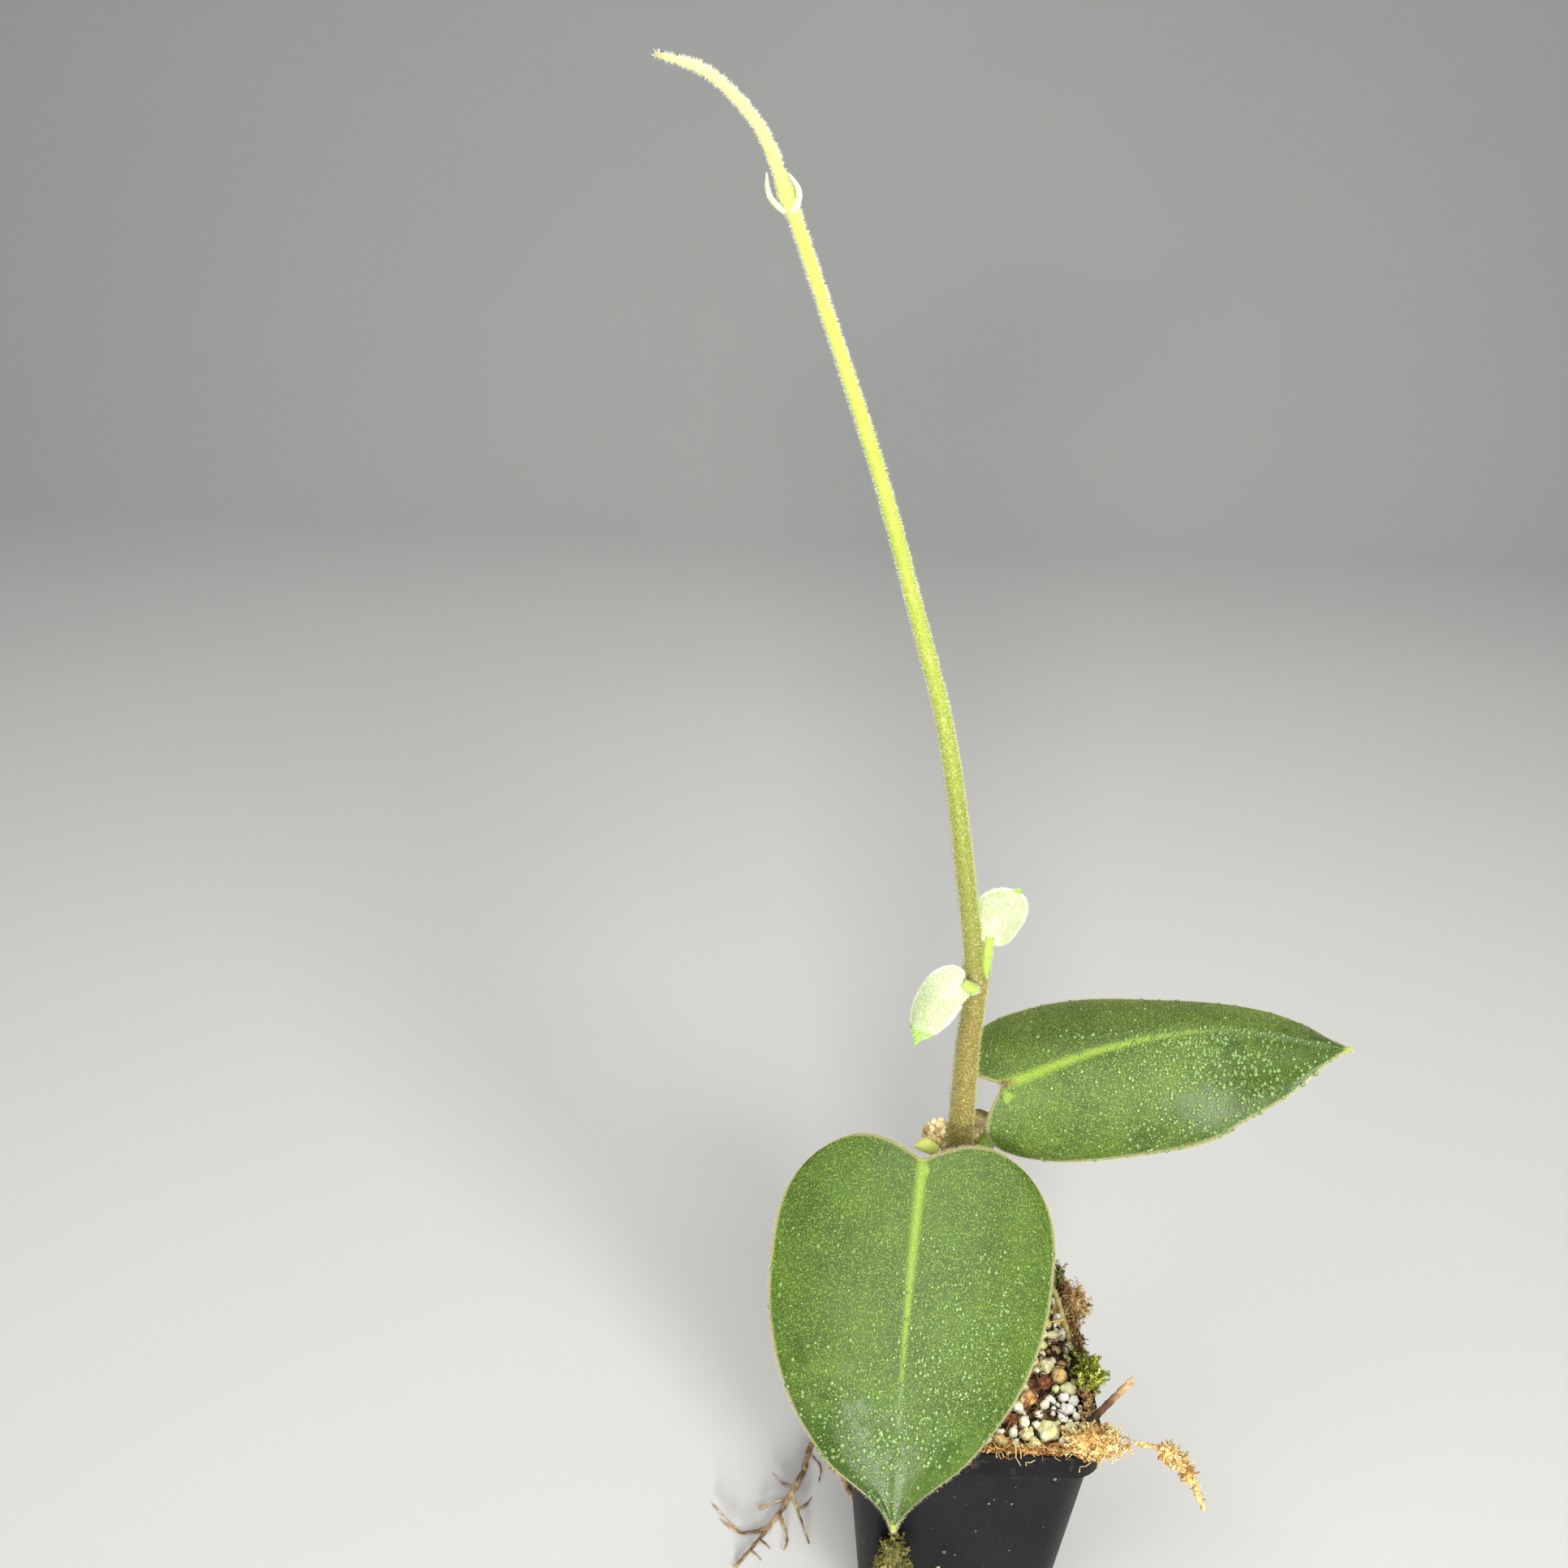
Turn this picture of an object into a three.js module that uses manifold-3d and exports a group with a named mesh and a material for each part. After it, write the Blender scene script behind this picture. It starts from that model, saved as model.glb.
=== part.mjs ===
// A rooted hoya cutting in a small square nursery pot: two grown leaves at the old node, and one long
// new shoot with a pair of young leaves and a pair of leaf buds on it.
// Millimetres, +Z up. The origin is on the ground under the middle of the pot, and the front is -Y.

import * as THREE from "three";
import { mergeVertices } from "three/addons/utils/BufferGeometryUtils.js";
import Module from "manifold-3d";

const wasm = await Module();
wasm.setup();

// ---- Driving dimensions ----
const GAP = 0.3; // clearance between two pieces that touch
const POT_TOP = 64; // across the flats, over the lip
const POT_BASE = 48;
const POT_HEIGHT = 62;
const POT_WALL = 1.3;
const POT_FLOOR = 1.6;
const LIP_HEIGHT = 6.5;
const LIP_STEP = 1.2; // how far the lip stands out over the wall
const CORNER_SHARE = 0.26; // corner radius as a share of the half width
const RING_POINTS = 36; // points around the pot and the mix
const SLOT_WIDTH = 27; // drain slot in the foot of each wall
const SLOT_HEIGHT = 4.5;
const SLOT_DEPTH = 6; // how far a slot runs in under the floor's edge
const MIX_EDGE_Z = 60.2; // the mix where it meets the wall
const MIX_MOUND = 3.2; // rise in the middle
const MIX_BACK = 3; // extra rise along the back
const NODE_Z = 126; // the old node, where the leaves and the new shoot sit
const HEART_HALF_WIDTH = 33;
const RIGHT_HALF_WIDTH = 25;
const LEAF_THICKNESS = 1.5;
const OLD_STEM_RADIUS = 3.3;

const group = new THREE.Group();

// ---- Solids ----
const at = (x, y, z) => new THREE.Vector3(x, y, z);

function solidOf(geometry) {
  const bare = geometry.clone();
  bare.deleteAttribute("normal");
  bare.deleteAttribute("uv");
  const merged = mergeVertices(bare, 1e-4);
  const vertProperties = new Float32Array(merged.attributes.position.array);
  const triVerts = new Uint32Array(merged.index.array);
  return new wasm.Manifold(new wasm.Mesh({ numProp: 3, vertProperties, triVerts }));
}

function geometryOf(solid) {
  const mesh = solid.getMesh();
  const geometry = new THREE.BufferGeometry();
  geometry.setAttribute("position", new THREE.BufferAttribute(mesh.vertProperties, 3));
  geometry.setIndex(new THREE.BufferAttribute(mesh.triVerts, 1));
  return geometry;
}

function addPiece(name, solid, colour, roughness) {
  const geometry = geometryOf(solid);
  geometry.computeVertexNormals();
  const material = new THREE.MeshStandardMaterial({ color: colour, roughness, metalness: 0 });
  const mesh = new THREE.Mesh(geometry, material);
  mesh.name = name;
  group.add(mesh);
}

// Repeatable random numbers from 0 to 1.
function dice(seed) {
  let state = seed;
  return () => {
    state = (state * 1664525 + 1013904223) % 4294967296;
    return state / 4294967296;
  };
}

// A closed skin over rings of equal length, the first ring lowest along the run, with both ends capped.
function loft(rings) {
  const around = rings[0].length;
  const positions = rings.flat().flatMap((p) => [p.x, p.y, p.z]);
  const index = [];
  for (let r = 0; r + 1 < rings.length; r++) {
    for (let i = 0; i < around; i++) {
      const j = (i + 1) % around;
      const [a, b, c, d] = [r * around + i, r * around + j, (r + 1) * around + j, (r + 1) * around + i];
      index.push(a, b, c, a, c, d);
    }
  }
  for (const [r, turned] of [[0, true], [rings.length - 1, false]]) {
    const centre = rings[r].reduce((sum, p) => sum.add(p), at(0, 0, 0)).divideScalar(around);
    positions.push(centre.x, centre.y, centre.z);
    const hub = positions.length / 3 - 1;
    for (let i = 0; i < around; i++) {
      const [a, b] = [r * around + i, r * around + ((i + 1) % around)];
      index.push(hub, turned ? b : a, turned ? a : b);
    }
  }
  const geometry = new THREE.BufferGeometry();
  geometry.setAttribute("position", new THREE.Float32BufferAttribute(positions, 3));
  geometry.setIndex(index);
  return solidOf(geometry);
}

// Linear reading of [share of length, value] stations.
function reading(stations, t) {
  const next = Math.max(1, stations.findIndex(([share]) => share >= t));
  const [[t0, v0], [t1, v1]] = [stations[next - 1], stations[next]];
  return v0 + (v1 - v0) * THREE.MathUtils.clamp((t - t0) / (t1 - t0), 0, 1);
}

// A stem or root of changing radius along a smooth route.
function limb(points, stations, steps, sides, grow = 0) {
  const route = new THREE.CatmullRomCurve3(points, false, "centripetal");
  const frames = route.computeFrenetFrames(steps, false);
  const rings = [];
  for (let s = 0; s <= steps; s++) {
    const centre = route.getPointAt(s / steps);
    const radius = reading(stations, s / steps) + grow;
    const ring = [];
    for (let i = 0; i < sides; i++) {
      const turn = (i / sides) * 2 * Math.PI;
      ring.push(
        centre
          .clone()
          .addScaledVector(frames.normals[s], radius * Math.cos(turn))
          .addScaledVector(frames.binormals[s], radius * Math.sin(turn)),
      );
    }
    rings.push(ring);
  }
  return loft(rings);
}

// A thin even root or fibre: a round section swept along its route.
function strand(points, radius, steps, sides = 6) {
  const section = new THREE.Shape();
  for (let i = 0; i < sides; i++) {
    const turn = (i / sides) * 2 * Math.PI;
    section[i ? "lineTo" : "moveTo"](radius * Math.cos(turn), radius * Math.sin(turn));
  }
  const extrudePath = new THREE.CatmullRomCurve3(points, false, "centripetal");
  return solidOf(new THREE.ExtrudeGeometry(section, { steps, extrudePath, bevelEnabled: false }));
}

// An uneven rounded grain or tuft, with its radii along X, Y and Z.
function lump(centre, radii, seed, rough = 0.12, detail = 1, grow = 0) {
  const ball = new THREE.IcosahedronGeometry(1, detail);
  ball.deleteAttribute("normal");
  ball.deleteAttribute("uv");
  const merged = mergeVertices(ball, 1e-4);
  const next = dice(seed);
  const place = merged.attributes.position;
  for (let i = 0; i < place.count; i++) {
    const swell = 1 + rough * (2 * next() - 1);
    place.setXYZ(
      i,
      centre.x + place.getX(i) * (radii.x * swell + grow),
      centre.y + place.getY(i) * (radii.y * swell + grow),
      centre.z + place.getZ(i) * (radii.z * swell + grow),
    );
  }
  return solidOf(merged);
}

// ---- Pot: one thin moulded shell with a lip, a flat floor and a drain slot in each wall's foot ----
function squareRing(half, z) {
  const radius = half * CORNER_SHARE;
  const flat = half - radius;
  const outline = new THREE.Shape();
  outline.absarc(flat, flat, radius, 0, Math.PI / 2);
  outline.absarc(-flat, flat, radius, Math.PI / 2, Math.PI);
  outline.absarc(-flat, -flat, radius, Math.PI, 1.5 * Math.PI);
  outline.absarc(flat, -flat, radius, 1.5 * Math.PI, 2 * Math.PI);
  outline.closePath();
  const points = outline.getSpacedPoints(RING_POINTS).slice(0, RING_POINTS);
  return points.map((p) => at(p.x, p.y, z));
}

const wallHalf = (z) =>
  THREE.MathUtils.lerp(POT_BASE / 2, POT_TOP / 2 - LIP_STEP, z / POT_HEIGHT);

function potShell(grow) {
  const lipFoot = POT_HEIGHT - LIP_HEIGHT;
  const lipHalf = POT_TOP / 2 + grow;
  const inner = (z) => wallHalf(z) - POT_WALL - grow;
  const shell = loft([
    squareRing(wallHalf(0) + grow, -grow),
    squareRing(wallHalf(lipFoot) + grow, lipFoot - grow),
    squareRing(lipHalf - 0.4, lipFoot - grow),
    squareRing(lipHalf, lipFoot + 0.8),
    squareRing(lipHalf, POT_HEIGHT - 0.5),
    squareRing(lipHalf - 0.5, POT_HEIGHT + grow),
    squareRing(lipHalf - POT_WALL - 2 * grow, POT_HEIGHT + grow),
    squareRing(inner(lipFoot) + LIP_STEP, lipFoot + 1),
    squareRing(inner(lipFoot), lipFoot - 1),
    squareRing(inner(POT_FLOOR), POT_FLOOR + grow),
  ]);
  const reach = SLOT_DEPTH - grow;
  return [0, 1, 2, 3].reduce((made, side) => {
    const cutter = new THREE.BoxGeometry(SLOT_WIDTH - 2 * grow, 2 * reach, 2 * (SLOT_HEIGHT - grow));
    cutter.translate(0, -POT_BASE / 2, 0);
    cutter.rotateZ((side * Math.PI) / 2);
    return made.subtract(solidOf(cutter));
  }, shell);
}
const pot = potShell(0);
const potClearance = potShell(GAP);
addPiece("nursery_pot", pot, 0x1b1b20, 0.42);

// ---- Mix: fills the pot, mounded to the middle and the back ----
function mixHeight(x, y) {
  const out = Math.min(1, Math.max(Math.abs(x), Math.abs(y)) / 30);
  const back = THREE.MathUtils.smoothstep(y, -12, 26);
  const uneven = 0.45 * Math.sin(x * 0.52 + 1.3) * Math.cos(y * 0.47 - 0.6);
  return MIX_EDGE_Z + (1 - out ** 3) * (MIX_MOUND + uneven) + back * MIX_BACK * (1 - 0.55 * out ** 4);
}

function mixBody(raise) {
  const innerHalf = (z) => wallHalf(z) - POT_WALL - GAP;
  const sides = [POT_FLOOR + GAP, 30, POT_HEIGHT - LIP_HEIGHT - 1.2].map((z) =>
    squareRing(innerHalf(z), z),
  );
  const top = [1, 0.9, 0.75, 0.55, 0.35, 0.15].map((share) =>
    squareRing(innerHalf(MIX_EDGE_Z - 3) * share, 0).map((p) => at(p.x, p.y, mixHeight(p.x, p.y) + raise)),
  );
  return loft([...sides, ...top]);
}
const mixClearance = mixBody(GAP);
const onMix = (x, y, sunk = 0) => at(x, y, mixHeight(x, y) - sunk);

// ---- Old stem: the rooted cutting, with its swollen node, its dry cut end and its callus ----
const stemRoute = [at(-7, 3, 20), at(-8, 3, 60), at(-8.5, 1.5, 95), at(-6.2, 0, NODE_Z + 1.2)];
const stemStations = [
  [0, OLD_STEM_RADIUS * 0.9],
  [0.8, OLD_STEM_RADIUS],
  [0.94, OLD_STEM_RADIUS * 1.35],
  [1, OLD_STEM_RADIUS * 1.25],
];
const stubRoute = [at(-4.5, 0.8, NODE_Z - 3), at(-1.5, 2, NODE_Z + 4), at(-0.6, 2.6, NODE_Z + 9)];
const stubStations = [[0, 2.8], [0.6, 2.7], [1, 2.9]];
function oldStem(grow) {
  const callus = lump(at(-11.6, 1.6, NODE_Z + 3.4), at(3.4, 2.8, 5), 11, 0.15, 1, 1.3 * grow);
  return limb(stemRoute, stemStations, 14, 10, grow)
    .add(limb(stubRoute, stubStations, 4, 10, grow))
    .add(callus);
}
const oldStemClearance = oldStem(GAP);

// ---- New shoot: one long whip from the old node, swollen at its two nodes ----
const shootRoute = [
  at(-6.2, -0.8, NODE_Z + 2),
  at(-6.5, -0.6, 153.5),
  at(-6.1, 0.5, 172.9),
  at(-10.2, 1.8, 199.3),
  at(-17.2, 3.3, 233.8),
  at(-25.6, 4, 260.8),
  at(-34.6, 3.8, 288.2),
  at(-48.7, 2.2, 324.6),
  at(-55.7, 0.8, 342.2),
  at(-61.4, -0.8, 354.1),
  at(-71.2, -2.8, 363),
  at(-80.6, -4, 365.6),
];
const shootStations = [
  [0, 2.9],
  [0.155, 2.5],
  [0.174, 3],
  [0.195, 2.15],
  [0.45, 1.65],
  [0.8, 1.25],
  [0.842, 1.3],
  [0.858, 2],
  [0.876, 1.15],
  [0.97, 0.85],
  [1, 0.4],
];
const shootClearance = limb(shootRoute, shootStations, 36, 8, GAP);
addPiece("cutting_stem", oldStem(0).subtract(shootClearance), 0x7d7240, 0.75);
addPiece("new_shoot", limb(shootRoute, shootStations, 36, 8), 0xa9c338, 0.6);

// ---- Leaves: blade and stalk in one, heart-shaped, folded along the midrib and curled down ----
// The outline's half width as a share of the widest, from the notch (0) to the point (1).
function outline(u, o) {
  if (u < o.widestAt) return 1 - 0.24 * (1 - u / o.widestAt) ** 3;
  const t = (u - o.widestAt) / (1 - o.widestAt);
  return (1 - t ** 2.4) * (1 - o.tipPinch * THREE.MathUtils.smoothstep(t, 0.75, 1));
}

function leaf(o) {
  const midrib = new THREE.CatmullRomCurve3(o.midrib, false, "centripetal");
  const [along, across] = o.grid;
  const faces = [1, -1].map((face) => {
    const rows = [];
    for (let i = 0; i <= along; i++) {
      const u = 1 - (1 - i / along) ** 1.35;
      const centre = midrib.getPointAt(u);
      const run = midrib.getTangentAt(u);
      const side = o.side.clone().lerp(o.sideAtTip ?? o.side, u);
      side.addScaledVector(run, -side.dot(run)).normalize();
      const up = run.clone().cross(side);
      const half = Math.max(0.25, o.halfWidth * outline(u, o));
      const row = [];
      for (let j = 0; j <= across; j++) {
        const v = Math.sin(((2 * j) / across - 1) * (Math.PI / 2));
        const out = Math.abs(v);
        const lobe = o.lobe * (1 - u) ** 3 * Math.sin(Math.PI * Math.min(1, out));
        const drop = half * (o.fold * out ** 1.3 + o.curl * out ** 3);
        const body = o.thickness * (0.3 + 0.7 * Math.sqrt(1 - 0.92 * v * v)) * (1 - 0.45 * u);
        const rib = face < 0 ? o.rib * Math.exp(-((v * half) ** 2) / 2.2) * (1 - u) : 0;
        row.push(
          centre
            .clone()
            .addScaledVector(side, half * v * (1 - 0.5 * o.fold * o.fold * out))
            .addScaledVector(run, -lobe)
            .addScaledVector(up, -drop + (face * body) / 2 - rib),
        );
      }
      rows.push(row);
    }
    return rows;
  });
  const width = across + 1;
  const count = (along + 1) * width;
  const index = [];
  const quad = (a, b, c, d) => index.push(a, b, c, a, c, d);
  for (let i = 0; i < along; i++) {
    for (let j = 0; j < across; j++) {
      const a = i * width + j;
      quad(a, a + width, a + width + 1, a + 1);
      quad(count + a, count + a + 1, count + a + width + 1, count + a + width);
    }
    const [left, right] = [i * width, i * width + across];
    quad(left + width, left, count + left, count + left + width);
    quad(right, right + width, count + right + width, count + right);
  }
  for (let j = 0; j < across; j++) {
    const far = along * width + j;
    quad(j, j + 1, count + j + 1, count + j);
    quad(far + 1, far, count + far, count + far + 1);
  }
  const geometry = new THREE.BufferGeometry();
  const positions = faces.flat(2).flatMap((p) => [p.x, p.y, p.z]);
  geometry.setAttribute("position", new THREE.Float32BufferAttribute(positions, 3));
  geometry.setIndex(index);
  const blade = solidOf(geometry);
  if (!o.stalk) return blade;
  return blade.add(limb(o.stalk, o.stalkStations, 8, 10));
}

const grown = {
  thickness: LEAF_THICKNESS,
  tipPinch: 0.35,
  rib: 0.9,
  grid: [14, 10],
  stalkStations: [[0, 2.3], [0.3, 2], [1, 1.9]],
};
const heartLeaf = leaf({
  ...grown,
  halfWidth: HEART_HALF_WIDTH,
  widestAt: 0.31,
  lobe: 4.6,
  midrib: [at(-14.9, -14, 133.7), at(-16.2, -27, 110), at(-17.6, -39.5, 82), at(-20.1, -50, 55.8)],
  side: at(1, 0.04, 0),
  fold: 0.1,
  curl: 0.14,
  stalk: [at(-8.6, -2.4, NODE_Z - 1), at(-11.5, -8.5, NODE_Z + 3), at(-15.2, -15.2, 131.5)],
});
const rightLeaf = leaf({
  ...grown,
  halfWidth: RIGHT_HALF_WIDTH,
  widestAt: 0.4,
  lobe: 5.2,
  midrib: [at(3, 0, 145.5), at(28.9, 6.5, 153), at(55.6, 8.6, 157.6), at(81.4, -5.1, 162)],
  side: at(0, 0.7, 0.72),
  sideAtTip: at(0, 0.98, 0.17),
  fold: 0.55,
  curl: 0.18,
  stalk: [at(-1.9, -1.5, NODE_Z - 1), at(1.2, -1.4, NODE_Z + 7), at(4.2, -0.4, 144.4)],
});
const youngLeft = leaf({
  halfWidth: 6.4,
  thickness: 0.9,
  widestAt: 0.36,
  tipPinch: 0.2,
  lobe: 0.8,
  rib: 0.3,
  grid: [9, 6],
  midrib: [at(-9.6, -2.4, 176.2), at(-14.5, -4.6, 174), at(-18.2, -5.2, 166.5), at(-19.3, -4, 158.3)],
  side: at(0.75, -0.45, 0.6),
  fold: 0.35,
  curl: 0.1,
  stalk: [at(-7.9, -0.6, 173.4), at(-8.5, -1.6, 175.2), at(-10, -2.6, 175.9)],
  stalkStations: [[0, 1.4], [1, 1.1]],
});
const youngRight = leaf({
  halfWidth: 5.6,
  thickness: 0.9,
  widestAt: 0.4,
  tipPinch: 0.2,
  lobe: 0.6,
  rib: 0.3,
  grid: [9, 6],
  midrib: [at(-4, 0.2, 184), at(-2.4, 0.4, 188.4), at(-0.2, 0.4, 193), at(2, 0, 197.7)],
  side: at(-0.85, 0.05, 0.5),
  fold: 0.3,
  curl: 0.1,
  stalk: [at(-4.2, 0.6, 174.6), at(-3.9, 0.5, 179), at(-3.7, 0.2, 185.2)],
  stalkStations: [[0, 1.3], [1, 0.9]],
});
const budLeaf = (midrib, side, halfWidth) =>
  leaf({
    halfWidth,
    thickness: 0.6,
    widestAt: 0.45,
    tipPinch: 0,
    lobe: 0,
    rib: 0,
    grid: [6, 4],
    midrib,
    side,
    fold: 0.5,
    curl: 0.2,
  });
const budLeft = budLeaf(
  [at(-58.2, 0, 341.4), at(-59.9, -0.4, 343.4), at(-60, -0.6, 347)],
  at(0.2, -1, 0.2),
  1.1,
);
const budRight = budLeaf(
  [at(-53.7, -0.2, 341.2), at(-53.4, -0.8, 343.8), at(-55.3, -1, 346.4)],
  at(-0.3, 1, 0.2),
  1.3,
);
const bract = budLeaf(
  [at(-11.2, -2.6, NODE_Z + 1.2), at(-13.8, -3.4, NODE_Z + 3.2), at(-17.6, -4, NODE_Z + 2.8)],
  at(0.1, -0.75, -0.6),
  1.9,
);
const plantClearance = oldStemClearance.add(shootClearance);
for (const [name, solid, colour] of [
  ["heart_leaf", heartLeaf, 0x3f6e2c],
  ["right_leaf", rightLeaf, 0x38672b],
  ["young_leaf_left", youngLeft, 0xc3cc94],
  ["young_leaf_right", youngRight, 0xdfe6c6],
  ["bud_leaf_left", budLeft, 0xd5dca8],
  ["bud_leaf_right", budRight, 0xe0e4c0],
  ["node_bract", bract, 0xb9c25a],
]) {
  addPiece(name, solid.subtract(plantClearance), colour, 0.5);
}

// ---- Roots: three inside the mix, one on its surface and one out of the left drain slot ----
const buriedRoots = [
  [at(-7, 3, 24), at(-14, -3, 20), at(-19, -12, 12), at(-14, -17, 6)],
  [at(-7, 3, 30), at(3, 8, 24), at(14, 13, 16), at(18, 8, 7)],
  [at(-7, 3, 22), at(-6, 12, 15), at(-15, 18, 9), at(-18, 10, 5)],
];
const ROOT_RADIUS = 0.8;
const buried = buriedRoots.map((points) => strand(points, ROOT_RADIUS, 9));
const buriedClearance = buriedRoots.map((points) => strand(points, ROOT_RADIUS + GAP, 9));
buried.forEach((root, i) =>
  addPiece("buried_root_" + (i + 1), root.subtract(oldStemClearance), 0xc9ab72, 0.8),
);

const surfacePoints = [
  at(26.5, 27, 0.6),
  at(27, 20, 1.5),
  at(27.6, 13, 1.6),
  at(28.4, 4, 1.2),
].map((p) => at(p.x, p.y, mixHeight(p.x, p.y) + p.z + 0.6));
const SURFACE_ROOT_RADIUS = 0.75;
addPiece("surface_root", strand(surfacePoints, SURFACE_ROOT_RADIUS, 9), 0xd9c070, 0.75);

const GROUND_ROOT_Z = 0.9;
const onGround = (x, y) => at(x, y, GROUND_ROOT_Z);
const drainRoot = [
  [onGround(-20.5, 4), onGround(-26, 13), onGround(-32, 29), onGround(-36, 30), onGround(-39, 19)],
  [onGround(-39, 19), onGround(-45.6, 4.4), onGround(-52.4, -6.7), onGround(-57.2, -13.9)],
  [onGround(-42.3, 12.1), onGround(-40, 4), onGround(-37.3, -5.2)],
  [onGround(-48.9, -1.2), onGround(-56.1, -2.6), onGround(-61.9, 1.7)],
  [onGround(-45.6, 4.4), onGround(-43.3, -3.6), onGround(-44.1, -8.1)],
]
  .map((points, i) => strand(points, i < 2 ? 0.8 : 0.5, i ? 7 : 12))
  .reduce((all, root) => all.add(root));
addPiece("drain_root", drainRoot, 0x8f6f45, 0.85);

// ---- Grains on the surface: pumice, perlite, fertiliser prills and chips of bark ----
const kinds = [
  {
    name: "pumice",
    colour: 0xd8d2a8,
    roughness: 0.9,
    rough: 0.2,
    list: [
      [18.5, -24, 3.1],
      [24.3, -22.4, 1.7],
      [13.2, -25.2, 2],
      [21, -3, 2.3],
      [25.6, -9.6, 2.3],
      [20.2, 7.4, 2.3],
      [15.2, 0.5, 2.2],
      [8.5, -13, 2.4],
      [-15.5, -18, 2.6],
      [-19, 10, 2.8],
      [2, 20, 2.5],
    ],
  },
  {
    name: "perlite",
    colour: 0xf1efe6,
    roughness: 0.95,
    rough: 0.25,
    list: [
      [24.4, -16.4, 2],
      [26.6, -13, 1.4],
      [20.4, -14.2, 1.5],
      [-22, -6, 1.9],
      [9, 12, 1.7],
    ],
  },
  {
    name: "prill",
    colour: 0xc79b62,
    roughness: 0.35,
    rough: 0.03,
    list: [
      [24.3, 3.2, 1.4],
      [25.2, -1.4, 1.4],
      [-5, -20, 1.5],
    ],
  },
];
let mix = mixBody(0)
  .subtract(oldStemClearance)
  .subtract(buriedClearance.reduce((all, root) => all.add(root)));
for (const kind of kinds) {
  kind.list.forEach(([x, y, radius], i) => {
    const radii = at(radius, radius * 0.9, radius * 0.82);
    const centre = onMix(x, y, -0.15 * radius);
    const seed = 40 + 7 * i;
    addPiece(
      kind.name + "_" + (i + 1),
      lump(centre, radii, seed, kind.rough),
      kind.colour,
      kind.roughness,
    );
    mix = mix.subtract(lump(centre, radii, seed, kind.rough, 1, GAP + 0.1));
  });
}

const chips = [
  [18, -9.6, 0.5, 7, 3, 0.4],
  [8, -20.2, 2.7, 7.5, 3, 0.9],
  [20.8, 15.2, 1.1, 8, 3.4, 0.2],
  [-10, -11, 0.3, 9, 4, 1.1],
  [-2, 14, 1.9, 8, 4, 0.3],
];
chips.forEach(([x, y, turn, long, wide, tilt], i) => {
  const chip = (grow) => {
    const bar = new THREE.BoxGeometry(long + 2 * grow, wide + 2 * grow, 1.8 + 2 * grow, 2, 1, 1);
    bar.rotateX(tilt * 0.3);
    bar.rotateZ(turn);
    const centre = onMix(x, y, -0.3);
    bar.translate(centre.x, centre.y, centre.z);
    return solidOf(bar);
  };
  addPiece("bark_chip_" + (i + 1), chip(0), 0x4f2c16, 0.85);
  mix = mix.subtract(chip(GAP + 0.1));
});
addPiece("potting_mix", mix, 0x4a3420, 0.95);

// ---- Twig stuck in the mix, and mosses in and over the rim ----
function twigBody(grow) {
  const route = [at(28, -23, 63.6), at(33, -19.6, 66.8), at(39.1, -15.5, 70.5)];
  return limb(route, [[0, 0.9], [1, 0.8]], 5, 8, grow);
}
const ground = potClearance.add(mixClearance);
addPiece("twig", twigBody(0).subtract(ground), 0x6b4a2a, 0.8);

const mosses = [
  ["rim_sphagnum", at(29, -29.2, 64.6), at(8, 4.4, 3.6), 0xc99c5c],
  ["rim_moss_right", at(31.6, 19, 65), at(3.2, 6, 3.6), 0xb0a45a],
  ["rim_moss_back", at(24.5, 29, 66.4), at(5.6, 4, 4), 0x5d6a2a],
  ["green_moss", at(31.4, -7.6, 65), at(2.6, 5.6, 3.2), 0x9aa83a],
  ["left_moss_tuft", at(-32.4, -28.4, 58), at(2.6, 3, 5.6), 0x8b8340],
  ["front_moss_clump", at(-17.8, -31, 19), at(5, 4.2, 15.4), 0x7d7a36],
];
const settled = ground
  .add(twigBody(GAP))
  .add(strand(surfacePoints, SURFACE_ROOT_RADIUS + GAP, 9));
mosses.forEach(([name, centre, radii, colour], i) =>
  addPiece(name, lump(centre, radii, 21 + i, 0.18, 2).subtract(settled), colour, 0.95),
);
const strandRoute = [
  at(38, -30.5, 66),
  at(44, -33, 67),
  at(49, -33, 62.6),
  at(53.4, -33, 55.4),
  at(57, -33, 47.8),
];
const looseStrand = limb(strandRoute, [[0, 1.4], [0.3, 2.2], [0.55, 1.3], [1, 0.6]], 12, 8);
addPiece("sphagnum_strand", looseStrand, 0xcfa468, 0.95);

export default group;
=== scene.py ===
import math

import bmesh
import bpy
import numpy as np
from mathutils import Matrix, Vector, noise


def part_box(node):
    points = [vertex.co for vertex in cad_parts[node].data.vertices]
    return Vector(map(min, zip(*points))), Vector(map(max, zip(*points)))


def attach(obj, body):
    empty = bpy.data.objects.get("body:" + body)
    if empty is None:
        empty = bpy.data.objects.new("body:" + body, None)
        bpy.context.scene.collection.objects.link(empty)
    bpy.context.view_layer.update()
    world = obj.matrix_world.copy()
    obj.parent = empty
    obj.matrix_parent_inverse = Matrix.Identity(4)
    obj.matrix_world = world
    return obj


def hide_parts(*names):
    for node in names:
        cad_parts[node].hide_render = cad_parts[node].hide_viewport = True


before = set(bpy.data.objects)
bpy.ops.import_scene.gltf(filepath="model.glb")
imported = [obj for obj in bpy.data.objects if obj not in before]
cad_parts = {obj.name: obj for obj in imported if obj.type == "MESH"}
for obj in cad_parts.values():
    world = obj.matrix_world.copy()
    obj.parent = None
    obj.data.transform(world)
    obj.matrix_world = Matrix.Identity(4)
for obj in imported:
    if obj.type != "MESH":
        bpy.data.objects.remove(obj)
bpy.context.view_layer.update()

MM = 0.001

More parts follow.
